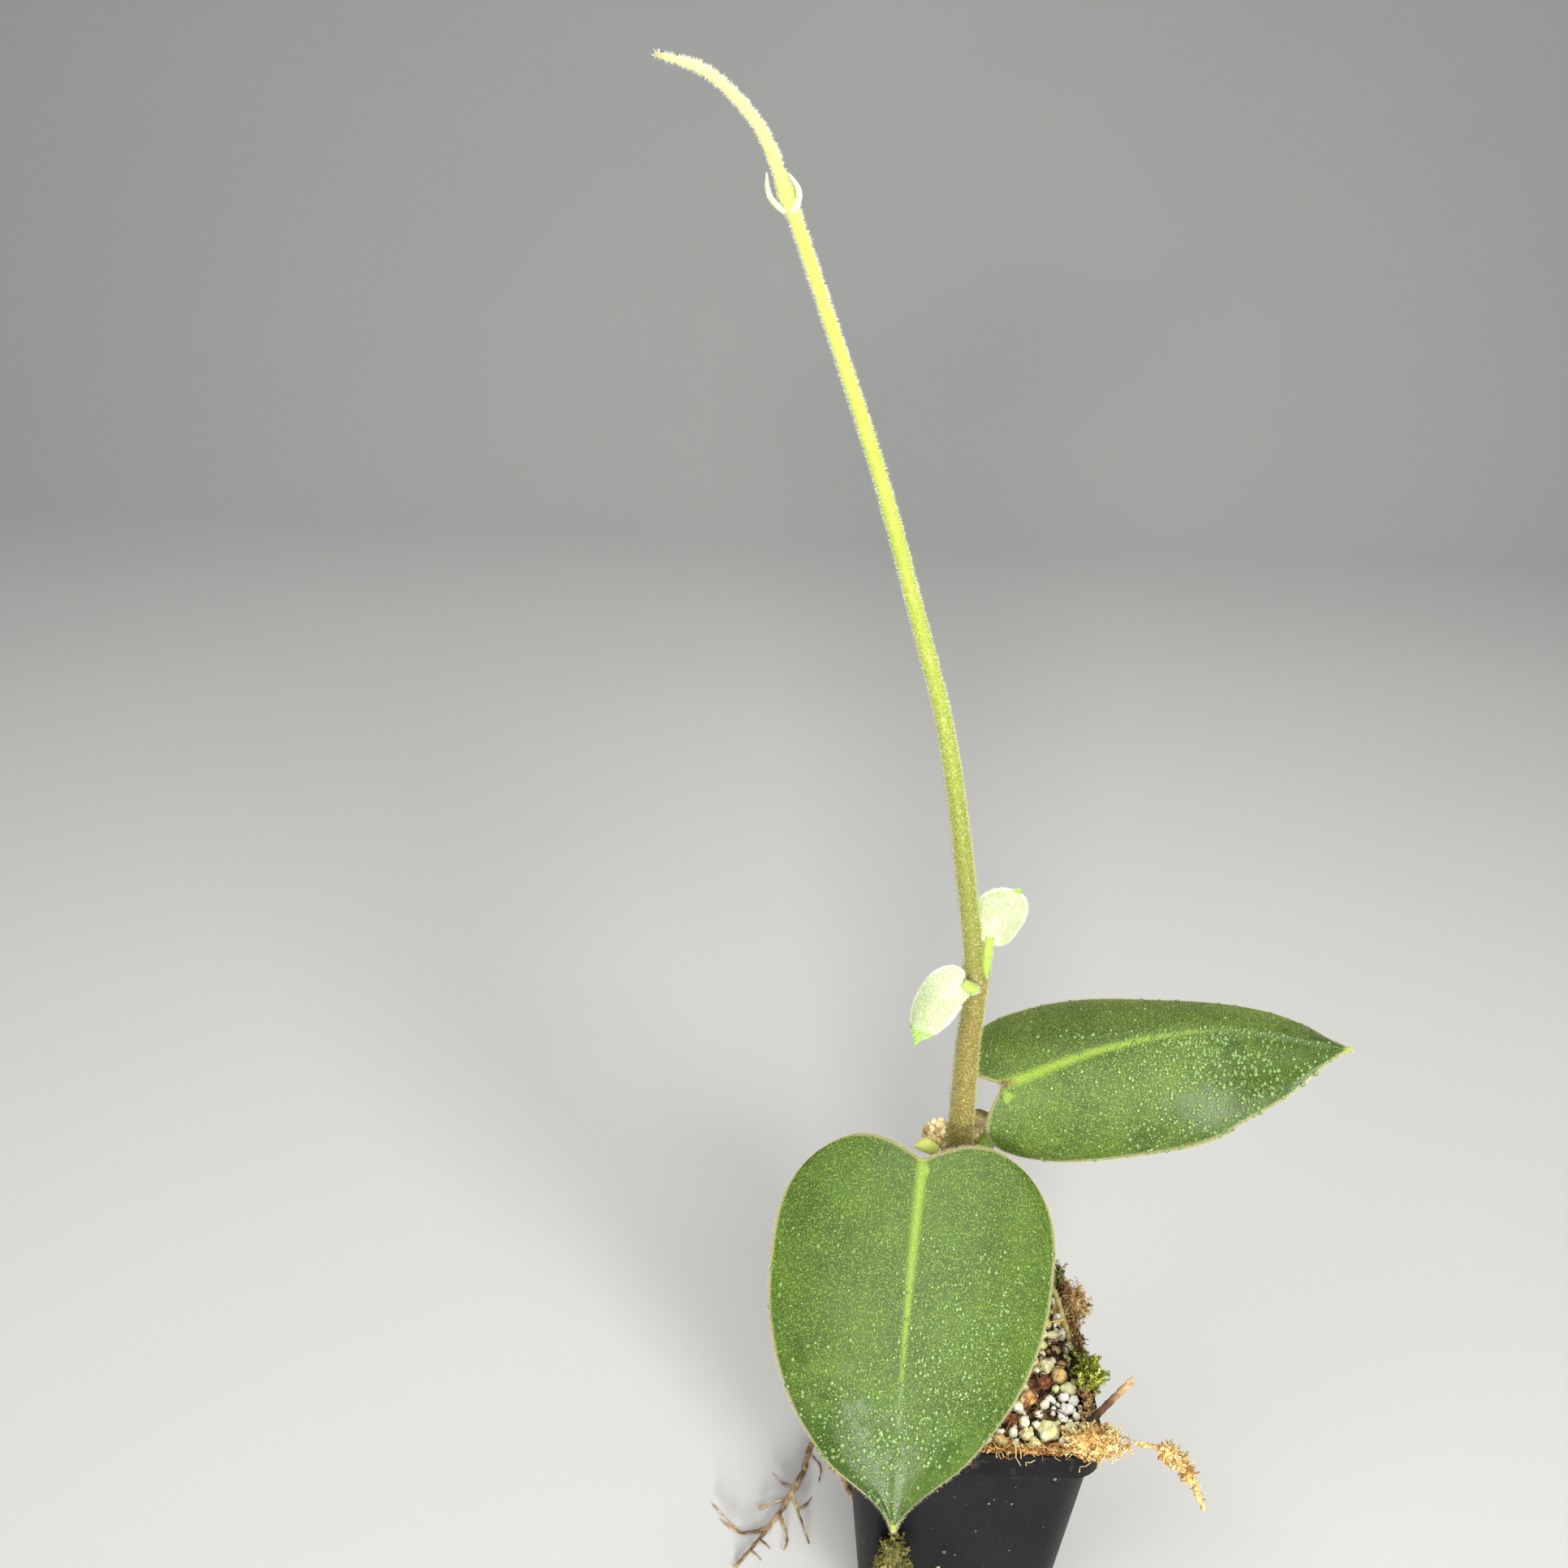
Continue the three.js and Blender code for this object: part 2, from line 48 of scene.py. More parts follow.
# ---- Room ----
# A plain pale table top runs back to a plain wall of the same paper. One soft box hangs over the plant and
# four more stand to the left and in front, as on a nursery's photo table.
bpy.context.scene.view_settings.view_transform = "Standard"


def unselect():
    """Leaves object mode with nothing selected, so that the next operator works on its own piece only."""
    if bpy.context.object and bpy.context.object.mode != "OBJECT":
        bpy.ops.object.mode_set(mode="OBJECT")
    bpy.ops.object.select_all(action="DESELECT")


def select_only(piece):
    unselect()
    piece.select_set(True)
    bpy.context.view_layer.objects.active = piece


def pick(piece, kind, wanted):
    """In edit mode, selects the edges or faces whose middle and reach pass the test, and no others."""
    bpy.ops.mesh.select_mode(type=kind)
    bpy.ops.mesh.select_all(action="DESELECT")
    skin = bmesh.from_edit_mesh(piece.data)
    for part in {"EDGE": skin.edges, "FACE": skin.faces}[kind]:
        corners = list(part.verts)
        middle = sum((c.co for c in corners), Vector()) / len(corners)
        part.select_set(bool(wanted(middle, corners[-1].co - corners[0].co)))
    bmesh.update_edit_mesh(piece.data)


def node(tree, kind, put=None, **settings):
    """One shader node, with its settings and with a value or a link for each socket named in put."""
    made = tree.nodes.new("ShaderNode" + kind)
    for key, value in settings.items():
        setattr(made, key, value)
    for socket, value in (put or {}).items():
        if isinstance(value, bpy.types.NodeSocket):
            tree.links.new(value, made.inputs[socket])
        else:
            made.inputs[socket].default_value = value
    return made


def object_place(tree):
    return node(tree, "TexCoord").outputs["Object"]


def cloudy(tree, place, scale, detail, roughness=0.5):
    """Smooth noise from 0 to 1."""
    put = {"Vector": place, "Scale": scale, "Detail": detail, "Roughness": roughness}
    return node(tree, "TexNoise", put).outputs["Fac"]


def maths(tree, operation, first, second, clamp=False):
    return node(tree, "Math", {0: first, 1: second}, operation=operation, use_clamp=clamp).outputs[0]


def ranged(tree, value, low, high, to_low=0.0, to_high=1.0, curve="LINEAR"):
    """A value carried from one range to another and held at its ends."""
    put = {"Value": value, "From Min": low, "From Max": high, "To Min": to_low, "To Max": to_high}
    return node(tree, "MapRange", put, interpolation_type=curve).outputs[0]


def blend(tree, factor, first, second):
    """A mix of two colours, each of them a link or a plain tone."""
    made = node(tree, "Mix", {"Factor": factor}, data_type="RGBA")
    for socket, value in (("A", first), ("B", second)):
        if isinstance(value, bpy.types.NodeSocket):
            tree.links.new(value, made.inputs[socket])
        else:
            made.inputs[socket].default_value = (*value, 1)
    return made.outputs["Result"]


def ramp_of(tree, value, tones):
    """The colour at a value along a run of (place, tone)."""
    ramp = node(tree, "ValToRGB", {"Fac": value})
    stops = ramp.color_ramp.elements
    for i, (at, tone) in enumerate(tones):
        stop = stops[i] if i < 2 else stops.new(at)
        stop.position = at
        stop.color = (*tone, 1)
    return ramp.outputs["Color"]


def new_finish(name, **constants):
    """A material with constants on its Principled shader, as the material, its node tree and the shader."""
    material = bpy.data.materials.new(name)
    material.use_nodes = True
    shader = material.node_tree.nodes["Principled BSDF"]
    for socket, value in constants.items():
        shader.inputs[socket.replace("_", " ")].default_value = value
    return material, material.node_tree, shader


def join_skin(tree, shader, colour, relief, strength, depth):
    """Gives a shader its colour and a bump made of its relief."""
    tree.links.new(colour, shader.inputs["Base Color"])
    bump = node(tree, "Bump", {"Height": relief, "Strength": strength, "Distance": depth})
    tree.links.new(bump.outputs[0], shader.inputs["Normal"])


def sweep_finish():
    """Pale grey paper with the faintest cloudiness."""
    material, tree, shader = new_finish("sweep_paper", Roughness=0.75)
    tone = blend(tree, cloudy(tree, object_place(tree), 3.0, 3.0), (0.37, 0.37, 0.365), (0.41, 0.41, 0.405))
    tree.links.new(tone, shader.inputs["Base Color"])
    return material


TABLE_SIZE = 9.0
BACKDROP_Y = 1.1
BACKDROP_HEIGHT = 3.5
unselect()
bpy.ops.mesh.primitive_plane_add(size=TABLE_SIZE, location=(0, BACKDROP_Y - TABLE_SIZE / 2, 0))
sweep = bpy.context.object
sweep.name = "table_sweep"
bpy.ops.object.transform_apply(location=True)
bpy.ops.object.mode_set(mode="EDIT")
pick(sweep, "EDGE", lambda middle, reach: middle.y > BACKDROP_Y - 0.01)
bpy.ops.mesh.extrude_region_move(TRANSFORM_OT_translate={"value": (0, 0, BACKDROP_HEIGHT)})
bpy.ops.object.mode_set(mode="OBJECT")
bpy.ops.object.shade_smooth()
sweep.data.materials.append(sweep_finish())

for name, place, aim, size, watts in (
    ("overhead_box", (0.10, 0.12, 0.95), (0.0, 0.0, 0.12), (0.45, 0.35), 5.5),
    ("left_fill", (-0.70, -0.60, 0.80), (-0.02, 0.0, 0.20), (0.6, 0.6), 3.5),
    ("front_box", (0.16, -0.95, 0.85), (-0.03, 0.0, 0.20), (0.5, 0.4), 6.0),
    ("low_front_strip", (-0.08, -1.10, 0.10), (-0.02, -0.04, 0.07), (0.22, 0.12), 8.5),
    ("right_front_box", (0.52, -1.00, 0.42), (0.04, 0.0, 0.14), (0.30, 0.20), 7.0),
):
    unselect()
    bpy.ops.object.light_add(type="AREA", location=place)
    lamp = bpy.context.object
    lamp.name = name
    lamp.rotation_euler = (Vector(aim) - Vector(place)).to_track_quat("-Z", "Y").to_euler()
    lamp.data.shape = "RECTANGLE"
    lamp.data.size, lamp.data.size_y = size
    lamp.data.energy = watts
    lamp.data.color = (1.0, 0.985, 0.935)
    lamp.visible_camera = False

world = bpy.data.worlds.new("studio_air")
world.use_nodes = True
world.node_tree.nodes["Background"].inputs["Color"].default_value = (0.93, 0.96, 1.0, 1)
world.node_tree.nodes["Background"].inputs["Strength"].default_value = 0.40
bpy.context.scene.world = world

CAMERA_PLACE = Vector((-0.052, -0.320, 0.356))
CAMERA_TILT = 67.13
CAMERA_ROLL = 2.195
unselect()
bpy.ops.object.camera_add()
camera = bpy.context.object
tilt = Matrix.Rotation(math.radians(CAMERA_TILT), 4, "X")
roll = Matrix.Rotation(math.radians(CAMERA_ROLL), 4, "Z")
camera.matrix_world = Matrix.Translation(CAMERA_PLACE) @ tilt @ roll
camera.data.sensor_width = 36.0
camera.data.lens = 36.335
camera.data.clip_start = 0.01
bpy.context.scene.camera = camera

# ---- Nursery pot ----
# A thin square pot moulded in one shot from black polypropylene: drafted walls with round corners,
# a plain lip that stands out over the wall, and one drain slot low in each side.
POT_TOP = 64 * MM
POT_BASE = 48 * MM
POT_HEIGHT = 62 * MM
POT_WALL = 1.3 * MM
POT_FLOOR = 1.6 * MM
LIP_HEIGHT = 6.5 * MM
LIP_STEP = 1.2 * MM
LIP_FOOT = POT_HEIGHT - LIP_HEIGHT
CORNER_SHARE = 0.26
SLOT_WIDTH = 27 * MM
SLOT_HEIGHT = 4.5 * MM
SLOT_DEPTH = 6 * MM


def wall_half(z):
    """Half the pot's outer width at a height under the lip."""
    return POT_BASE / 2 + (POT_TOP / 2 - LIP_STEP - POT_BASE / 2) * z / POT_HEIGHT


def apply_modifier(piece, kind, **settings):
    made = piece.modifiers.new(kind.title(), kind)
    for key, value in settings.items():
        setattr(made, key, value)
    bpy.context.view_layer.objects.active = piece
    bpy.ops.object.modifier_apply(modifier=made.name)


def new_group(name, inputs, outputs):
    """A node group, as its tree, the sockets that its inputs arrive on and those that its results go to."""
    group = bpy.data.node_groups.new(name, "ShaderNodeTree")
    for key, kind, start in inputs:
        socket = group.interface.new_socket(key, in_out="INPUT", socket_type="NodeSocket" + kind)
        socket.default_value = start
    for key, kind in outputs:
        group.interface.new_socket(key, in_out="OUTPUT", socket_type="NodeSocket" + kind)
    given = group.nodes.new("NodeGroupInput").outputs
    return group, given, group.nodes.new("NodeGroupOutput").inputs


def grain_group():
    """Uneven tone and fine relief that moulded, dusty and earthen things share."""
    starts = (("Shade", 0.5), ("Patch Scale", 80.0), ("Patch Amount", 0.5), ("Grain Scale", 1500.0))
    inputs = [(key, "Float", start) for key, start in starts]
    group, given, result = new_group("uneven_grain", inputs, [("Tone", "Float"), ("Relief", "Float")])
    place = object_place(group)
    centred = maths(group, "SUBTRACT", cloudy(group, place, given["Patch Scale"], 5.0), 0.5)
    swing = maths(group, "MULTIPLY", maths(group, "MULTIPLY", centred, given["Patch Amount"]), 2.4)
    group.links.new(maths(group, "ADD", given["Shade"], swing, clamp=True), result["Tone"])
    fine = cloudy(group, place, given["Grain Scale"], 4.0)
    group.links.new(maths(group, "ADD", fine, centred), result["Relief"])
    return group


uneven_grain = grain_group()


def seat(piece, finish, slot, *stands_for):
    """A piece takes its finish, rides on the plant's one body, and stands for its CAD nodes. finish is None
    where a piece has its materials already."""
    if finish:
        piece.data.materials.append(finish)
    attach(piece, "root")
    if stands_for:
        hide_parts(*stands_for)


def pot_finish():
    """Satin black plastic, finely scuffed up the walls and dusted with dried mix at the lip and the foot."""
    material, tree, shader = new_finish("black_pot_plastic", Specular_IOR_Level=0.16)
    place = object_place(tree)
    height = node(tree, "SeparateXYZ", {"Vector": place}).outputs["Z"]
    given = {"Shade": 0.4, "Patch Scale": 45.0, "Patch Amount": 0.9, "Grain Scale": 900.0}
    grain = node(tree, "Group", given, node_tree=uneven_grain).outputs
    black = blend(tree, grain["Tone"], (0.0022, 0.0022, 0.0032), (0.0065, 0.0065, 0.0085))
    low_or_high = maths(tree, "MAXIMUM", ranged(tree, height, 0.016, 0.0), ranged(tree, height, 0.044, 0.062))
    spots = ranged(tree, cloudy(tree, place, 420.0, 8.0, 0.7), 0.56, 0.75)
    dusty = maths(tree, "MULTIPLY", low_or_high, spots)
    stretch = node(tree, "Mapping", {"Vector": place, "Scale": (1.0, 1.0, 0.06)}).outputs[0]
    scuff = cloudy(tree, stretch, 1600.0, 3.0)
    worn = ranged(tree, scuff, 0.0, 1.0, 0.36, 0.56)
    tree.links.new(maths(tree, "ADD", worn, dusty, clamp=True), shader.inputs["Roughness"])
    colour = blend(tree, dusty, black, (0.10, 0.072, 0.045))
    join_skin(tree, shader, colour, maths(tree, "ADD", scuff, grain["Relief"]), 0.25, 0.0002)
    return material


unselect()
bpy.ops.mesh.primitive_cube_add(
    size=1, location=(0, 0, LIP_FOOT / 2), scale=(POT_BASE, POT_BASE, LIP_FOOT)
)
pot = bpy.context.object
pot.name = "pot_moulding"
bpy.ops.object.transform_apply(location=True, scale=True)
bpy.ops.object.mode_set(mode="EDIT")
pick(pot, "FACE", lambda middle, reach: middle.z > LIP_FOOT - 0.1 * MM)
bpy.ops.mesh.delete(type="ONLY_FACE")
pick(pot, "EDGE", lambda middle, reach: abs(reach.z) > 0.9 * LIP_FOOT)
bpy.ops.mesh.bevel(offset=CORNER_SHARE * POT_BASE / 2, segments=8, affect="EDGES")
pick(pot, "EDGE", lambda middle, reach: middle.z > LIP_FOOT - 0.1 * MM)
flare = wall_half(LIP_FOOT) / (POT_BASE / 2)
bpy.ops.transform.resize(value=(flare, flare, 1))
overhang = POT_TOP / 2 / wall_half(LIP_FOOT)
bpy.ops.mesh.extrude_region_move(TRANSFORM_OT_translate={"value": (0, 0, 0.01 * MM)})
bpy.ops.transform.resize(value=(overhang, overhang, 1))
bpy.ops.mesh.extrude_region_move(TRANSFORM_OT_translate={"value": (0, 0, LIP_HEIGHT)})
bpy.ops.object.mode_set(mode="OBJECT")
apply_modifier(pot, "SOLIDIFY", thickness=POT_WALL, offset=-1, use_even_offset=True)
for side in range(4):
    unselect()
    turn = side * math.pi / 2
    bpy.ops.mesh.primitive_cube_add(
        size=1,
        location=(math.sin(turn) * POT_BASE / 2, -math.cos(turn) * POT_BASE / 2, 0),
        rotation=(0, 0, turn),
        scale=(SLOT_WIDTH, 2 * SLOT_DEPTH, 2 * SLOT_HEIGHT),
    )
    cutter = bpy.context.object
    apply_modifier(pot, "BOOLEAN", operation="DIFFERENCE", object=cutter, solver="EXACT")
    bpy.data.objects.remove(cutter)
apply_modifier(pot, "BEVEL", width=0.35 * MM, segments=3, limit_method="ANGLE", angle_limit=math.radians(40))
select_only(pot)
bpy.ops.object.shade_smooth_by_angle(angle=math.radians(35))
seat(pot, pot_finish(), "pot_plastic", "nursery_pot")

# ---- Potting mix ----
# Damp coir and fine bark packed to the pot's wall, mounded in the middle and towards the back,
# with crumbs and coir fibres loose on top of it.
MIX_EDGE_Z = 60.2 * MM
MIX_MOUND = 3.2 * MM
MIX_BACK = 3 * MM
MIX_GAP = 0.3 * MM
MIX_HALF = wall_half(MIX_EDGE_Z - 3 * MM) - POT_WALL - MIX_GAP


def ease(value, low, high):
    t = min(1.0, max(0.0, (value - low) / (high - low)))
    return t * t * (3 - 2 * t)


def mix_top(x, y):
    """Height of the mix over the ground."""
    out = min(1.0, max(abs(x), abs(y)) / (30 * MM))
    uneven = 0.45 * MM * math.sin(520 * x + 1.3) * math.cos(470 * y - 0.6)
    back = ease(y, -12 * MM, 26 * MM) * MIX_BACK
    return MIX_EDGE_Z + (1 - out**3) * (MIX_MOUND + uneven) + back * (1 - 0.55 * out**4)


def corners_of(piece):
    places = np.empty(len(piece.data.vertices) * 3)
    piece.data.vertices.foreach_get("co", places)
    return places.reshape(-1, 3)


def earthen(name, tones, shade=0.5, patch=(80.0, 0.5), grain=(1500.0, 0.0003), roughness=0.9):
    """A rough natural finish whose tones run from the darkest to the palest. They are laid by patches of
    noise around a fixed shade, around each copy's own shade where shade is None, or along one axis of the
    plant where shade is (axis, low, high). patch is the patches' scale and strength, grain the scale and
    depth of the fine relief."""
    material, tree, shader = new_finish(name, Roughness=roughness)
    if shade is None:
        shade = node(tree, "Attribute", attribute_name="shade").outputs["Fac"]
    elif isinstance(shade, tuple):
        axis, low, high = shade
        split = node(tree, "SeparateXYZ", {"Vector": object_place(tree)})
        shade = ranged(tree, split.outputs[axis], low, high)
    given = {"Shade": shade, "Patch Scale": patch[0], "Patch Amount": patch[1], "Grain Scale": grain[0]}
    uneven = node(tree, "Group", given, node_tree=uneven_grain).outputs
    colour = ramp_of(tree, uneven["Tone"], [(i / (len(tones) - 1), tone) for i, tone in enumerate(tones)])
    join_skin(tree, shader, colour, uneven["Relief"], 0.8, grain[1])
    return material


def model_mesh(piece):
    """The corners and triangles of a small model, which is then put away."""
    bm = bmesh.new()
    bm.from_mesh(piece.data)
    bmesh.ops.triangulate(bm, faces=bm.faces)
    shape = np.array([v.co for v in bm.verts]), np.array([[v.index for v in f.verts] for f in bm.faces])
    bm.free()
    bpy.data.objects.remove(piece)
    return shape


def spread(name, models, places, frames, shades, finish, slot, *stands_for):
    """Many copies of a few small models joined as one seated piece. Each copy has its place, its own three
    axes and a shade from 0 to 1 that its finish reads."""
    points, faces, tints = [], [], []
    start = 0
    for k, (corners, triangles) in enumerate(models):
        mine = np.arange(k, len(places), len(models))
        moved = np.einsum("nij,cj->nci", frames[mine], corners) + places[mine, None, :]
        offsets = start + len(corners) * np.arange(len(mine))
        points.append(moved.reshape(-1, 3))
        faces.append((triangles[None] + offsets[:, None, None]).reshape(-1, 3))
        tints.append(np.repeat(shades[mine], len(corners)))
        start += len(mine) * len(corners)
    mesh = bpy.data.meshes.new(name)
    mesh.from_pydata(np.concatenate(points).tolist(), [], np.concatenate(faces).tolist())
    shade = mesh.attributes.new("shade", "FLOAT", "POINT")
    shade.data.foreach_set("value", np.concatenate(tints).astype(np.float32))
    mesh.polygons.foreach_set("use_smooth", np.ones(len(mesh.polygons), bool))
    piece = bpy.data.objects.new(name, mesh)
    bpy.context.scene.collection.objects.link(piece)
    seat(piece, finish, slot, *stands_for)


def face_outward(weld=False):
    """Turns the faces of the active piece to point out of it, after welding doubled corners if asked."""
    bpy.ops.object.mode_set(mode="EDIT")
    bpy.ops.mesh.select_all(action="SELECT")
    if weld:
        bpy.ops.mesh.remove_doubles(threshold=1e-6)
    bpy.ops.mesh.normals_make_consistent(inside=False)
    bpy.ops.object.mode_set(mode="OBJECT")


def unit(vectors):
    return vectors / np.maximum(np.linalg.norm(vectors, axis=1, keepdims=True), 1e-12)


def frames_along(directions, lengths, widths, rng, thins=None):
    """Axes for copies of a model that stands on its Z axis: turned at random about the given directions."""
    up = unit(directions)
    side = unit(np.cross(up, rng.normal(size=up.shape)))
    third = np.cross(up, side)
    thins = widths if thins is None else thins
    return np.stack([side * widths[:, None], third * thins[:, None], up * lengths[:, None]], axis=2)


unselect()
bpy.ops.mesh.primitive_grid_add(x_subdivisions=110, y_subdivisions=110, size=2)
mix = bpy.context.object
mix.name = "packed_mix"
bpy.ops.object.mode_set(mode="EDIT")
bpy.ops.mesh.select_mode(type="EDGE")
bpy.ops.mesh.select_all(action="DESELECT")
bpy.ops.mesh.select_non_manifold()
bpy.ops.mesh.extrude_region_move(TRANSFORM_OT_translate={"value": (0, 0, -1)})
bpy.ops.mesh.edge_face_add()
bpy.ops.object.mode_set(mode="OBJECT")
round_corner = CORNER_SHARE * MIX_HALF
flat_half = MIX_HALF - round_corner
for corner in mix.data.vertices:
    x, y, low = corner.co
    ring = max(abs(x), abs(y))
    edge = Vector((x, y, 0)) / max(ring, 1e-9) * MIX_HALF
    past = Vector((max(0.0, abs(edge.x) - flat_half), max(0.0, abs(edge.y) - flat_half)))
    if past.length > round_corner:
        held = past * (round_corner / past.length)
        edge.x = math.copysign(flat_half + held.x, edge.x) if past.x > 0 else edge.x
        edge.y = math.copysign(flat_half + held.y, edge.y) if past.y > 0 else edge.y
    place = edge * ring
    if low < -0.5:
        narrow = (wall_half(POT_FLOOR) - POT_WALL - MIX_GAP) / MIX_HALF
        corner.co = (place.x * narrow, place.y * narrow, POT_FLOOR + MIX_GAP)
    else:
        crumbly = 1.1 * noise.turbulence(place * 190, 4, False) - 0.55
        corner.co = (place.x, place.y, mix_top(place.x, place.y) + MM * crumbly - 0.4 * MM)
select_only(mix)
face_outward()
bpy.ops.object.shade_smooth_by_angle(angle=math.radians(50))
COIR_TONES = [(0.012, 0.007, 0.004), (0.045, 0.022, 0.010), (0.11, 0.056, 0.024), (0.20, 0.12, 0.05)]
damp_mix = earthen("damp_mix", COIR_TONES, 0.42, (420.0, 1.0), (2600.0, 0.0006))
seat(mix, damp_mix, "potting_mix", "potting_mix")


def crumb_models(count, first, rough, segments=7, rings=5):
    """Uneven rounded grains of radius 1 with a few dozen faces each."""
    models = []
    for seed in range(first, first + count):
        unselect()
        bpy.ops.mesh.primitive_uv_sphere_add(segments=segments, ring_count=rings, radius=1)
        grain = bpy.context.object
        for corner in grain.data.vertices:
            corner.co *= 1 + rough * noise.noise(corner.co * 1.3 + Vector((7.0 * seed, 0, 0)))
        models.append(model_mesh(grain))
    return models


def on_mix(rng, count, margin=0.96):
    """Random places on the mix inside the pot's wall."""
    flat = rng.uniform(-MIX_HALF * margin, MIX_HALF * margin, (count * 2, 2))
    bend = np.abs(flat) - flat_half
    inside = (bend.min(1) < 0) | (np.linalg.norm(np.maximum(bend, 0), axis=1) < round_corner * 0.8)
    flat = flat[inside][:count]
    heights = [mix_top(x, y) for x, y in flat]
    return np.column_stack([flat, heights])


rng = np.random.default_rng(11)
places = on_mix(rng, 1500) - [0, 0, 0.2 * MM]
sizes = rng.uniform(0.3, 1.0, len(places)) * MM
leaning = rng.normal(size=(len(places), 3))
frames = frames_along(leaning, sizes * 1.4, sizes, rng, sizes * 0.6)
crumb_finish = earthen("bark_and_coir_crumbs", COIR_TONES, None, (900.0, 0.4), (3000.0, 0.0003))
crumbs = crumb_models(3, 0, 0.9, 6, 4)
spread("mix_crumbs", crumbs, places, frames, rng.random(len(places)), crumb_finish, "potting_mix")


def curved_strand(name, points, radii, sides=4):
    """A round strand of changing thickness along a smooth line, as a mesh with closed ends."""
    unselect()
    line = bpy.data.curves.new(name, "CURVE")
    line.dimensions = "3D"
    line.bevel_depth = 1.0
    line.bevel_resolution = (sides - 4) // 2
    line.use_fill_caps = True
    spline = line.splines.new("POLY")
    spline.points.add(len(points) - 1)
    for bead, point, radius in zip(spline.points, points, radii):
        bead.co = (*point, 1)
        bead.radius = radius
    piece = bpy.data.objects.new(name, line)
    bpy.context.scene.collection.objects.link(piece)
    select_only(piece)
    bpy.ops.object.convert(target="MESH")
    face_outward(weld=True)
    return piece


def fibre_model(seed, bend=0.18, steps=6):
    """One bent fibre of length 1 and thickness 1, lying along Z."""
    rng = np.random.default_rng(seed)
    wander = np.cumsum(rng.normal(scale=bend / 2, size=(steps, 2)), axis=0)
    points = [(*wander[i], i / (steps - 1)) for i in range(steps)]
    shape = curved_strand("fibre", points, [0.02] * steps, 4)
    return model_mesh(shape)


rng = np.random.default_rng(23)
places = on_mix(rng, 300) + [0, 0, 0.4 * MM]
lengths = rng.uniform(3, 11, len(places)) * MM
flat_run = np.column_stack([rng.normal(size=(len(places), 2)), rng.normal(scale=0.22, size=len(places))])
frames = frames_along(flat_run, lengths, lengths, rng)
places = places - unit(flat_run) * lengths[:, None] / 2
inside = np.abs(places[:, :2]).max(1) < MIX_HALF
shades = rng.random(len(places))[inside]
FIBRE_TONES = [(0.05, 0.022, 0.009), (0.16, 0.075, 0.027), (0.34, 0.18, 0.065), (0.52, 0.33, 0.14)]
fibre_finish = earthen("coir_fibre", FIBRE_TONES, None, (500.0, 0.4), (4000.0, 0.0001), 0.8)
fibres = [fibre_model(seed) for seed in (3, 4, 5, 6)]
spread("coir_fibres", fibres, places[inside], frames[inside], shades, fibre_finish, "potting_mix")

# ---- Mineral grains, fertiliser prills and bark chips ----
# Rounded cream pumice, crisp white perlite, smooth tan coated prills and fibrous red-brown bark chips
# lie bedded in the top of the mix, with finer grit of the same kinds packed between them. A few crumbs
# stick to the pot's walls.
PUMICE_TONES = [(0.46, 0.44, 0.17), (0.66, 0.66, 0.30), (0.84, 0.80, 0.50), (0.95, 0.92, 0.74)]
PERLITE_TONES = [(0.78, 0.75, 0.60), (0.93, 0.91, 0.82), (0.97, 0.96, 0.92)]
PRILL_TONES = [(0.42, 0.24, 0.07), (0.66, 0.44, 0.16), (0.80, 0.62, 0.30)]
BARK_TONES = [(0.03, 0.010, 0.005), (0.13, 0.038, 0.014), (0.28, 0.10, 0.032), (0.46, 0.24, 0.09)]
pumice_finish = earthen("pumice", PUMICE_TONES, 0.62, (260.0, 0.9), (2400.0, 0.0004), 0.85)
perlite_finish = earthen("perlite", PERLITE_TONES, 0.6, (500.0, 0.8), (3000.0, 0.0003), 0.8)
prill_finish = earthen("prill_coating", PRILL_TONES, 0.5, (350.0, 0.6), (1500.0, 0.00005), 0.28)
bark_finish = earthen("bark", BARK_TONES, 0.5, (600.0, 1.0), (1800.0, 0.0008), 0.85)


def refined(node_name, levels, coarse, fine, seed, rounding="CATMULL_CLARK"):
    """A copy of a plain solid, welded, rounded, or only divided where rounding is SIMPLE, and then worn
    into relief. coarse and fine are (wave length, depth) of the relief in millimetres."""
    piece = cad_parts[node_name].copy()
    piece.data = piece.data.copy()
    piece.data.materials.clear()
    piece.name = node_name + "_grown"
    piece.parent = None
    bpy.context.scene.collection.objects.link(piece)
    select_only(piece)
    bpy.ops.object.mode_set(mode="EDIT")
    bpy.ops.mesh.select_all(action="SELECT")
    bpy.ops.mesh.remove_doubles(threshold=1e-6)
    bpy.ops.object.mode_set(mode="OBJECT")
    apply_modifier(piece, "SUBSURF", levels=levels, render_levels=levels, subdivision_type=rounding)
    normals = [v.normal.copy() for v in piece.data.vertices]
    shift = Vector((seed * 0.013, 0, 0))
    for corner, out in zip(piece.data.vertices, normals):
        lift = 0
        for wave, depth in (coarse, fine):
            lift += depth * MM * noise.noise((corner.co + shift) / (wave * MM))
        corner.co += out * lift
    bpy.ops.object.shade_smooth()
    return piece


def named(stem):
    return sorted(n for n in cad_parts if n.startswith(stem))


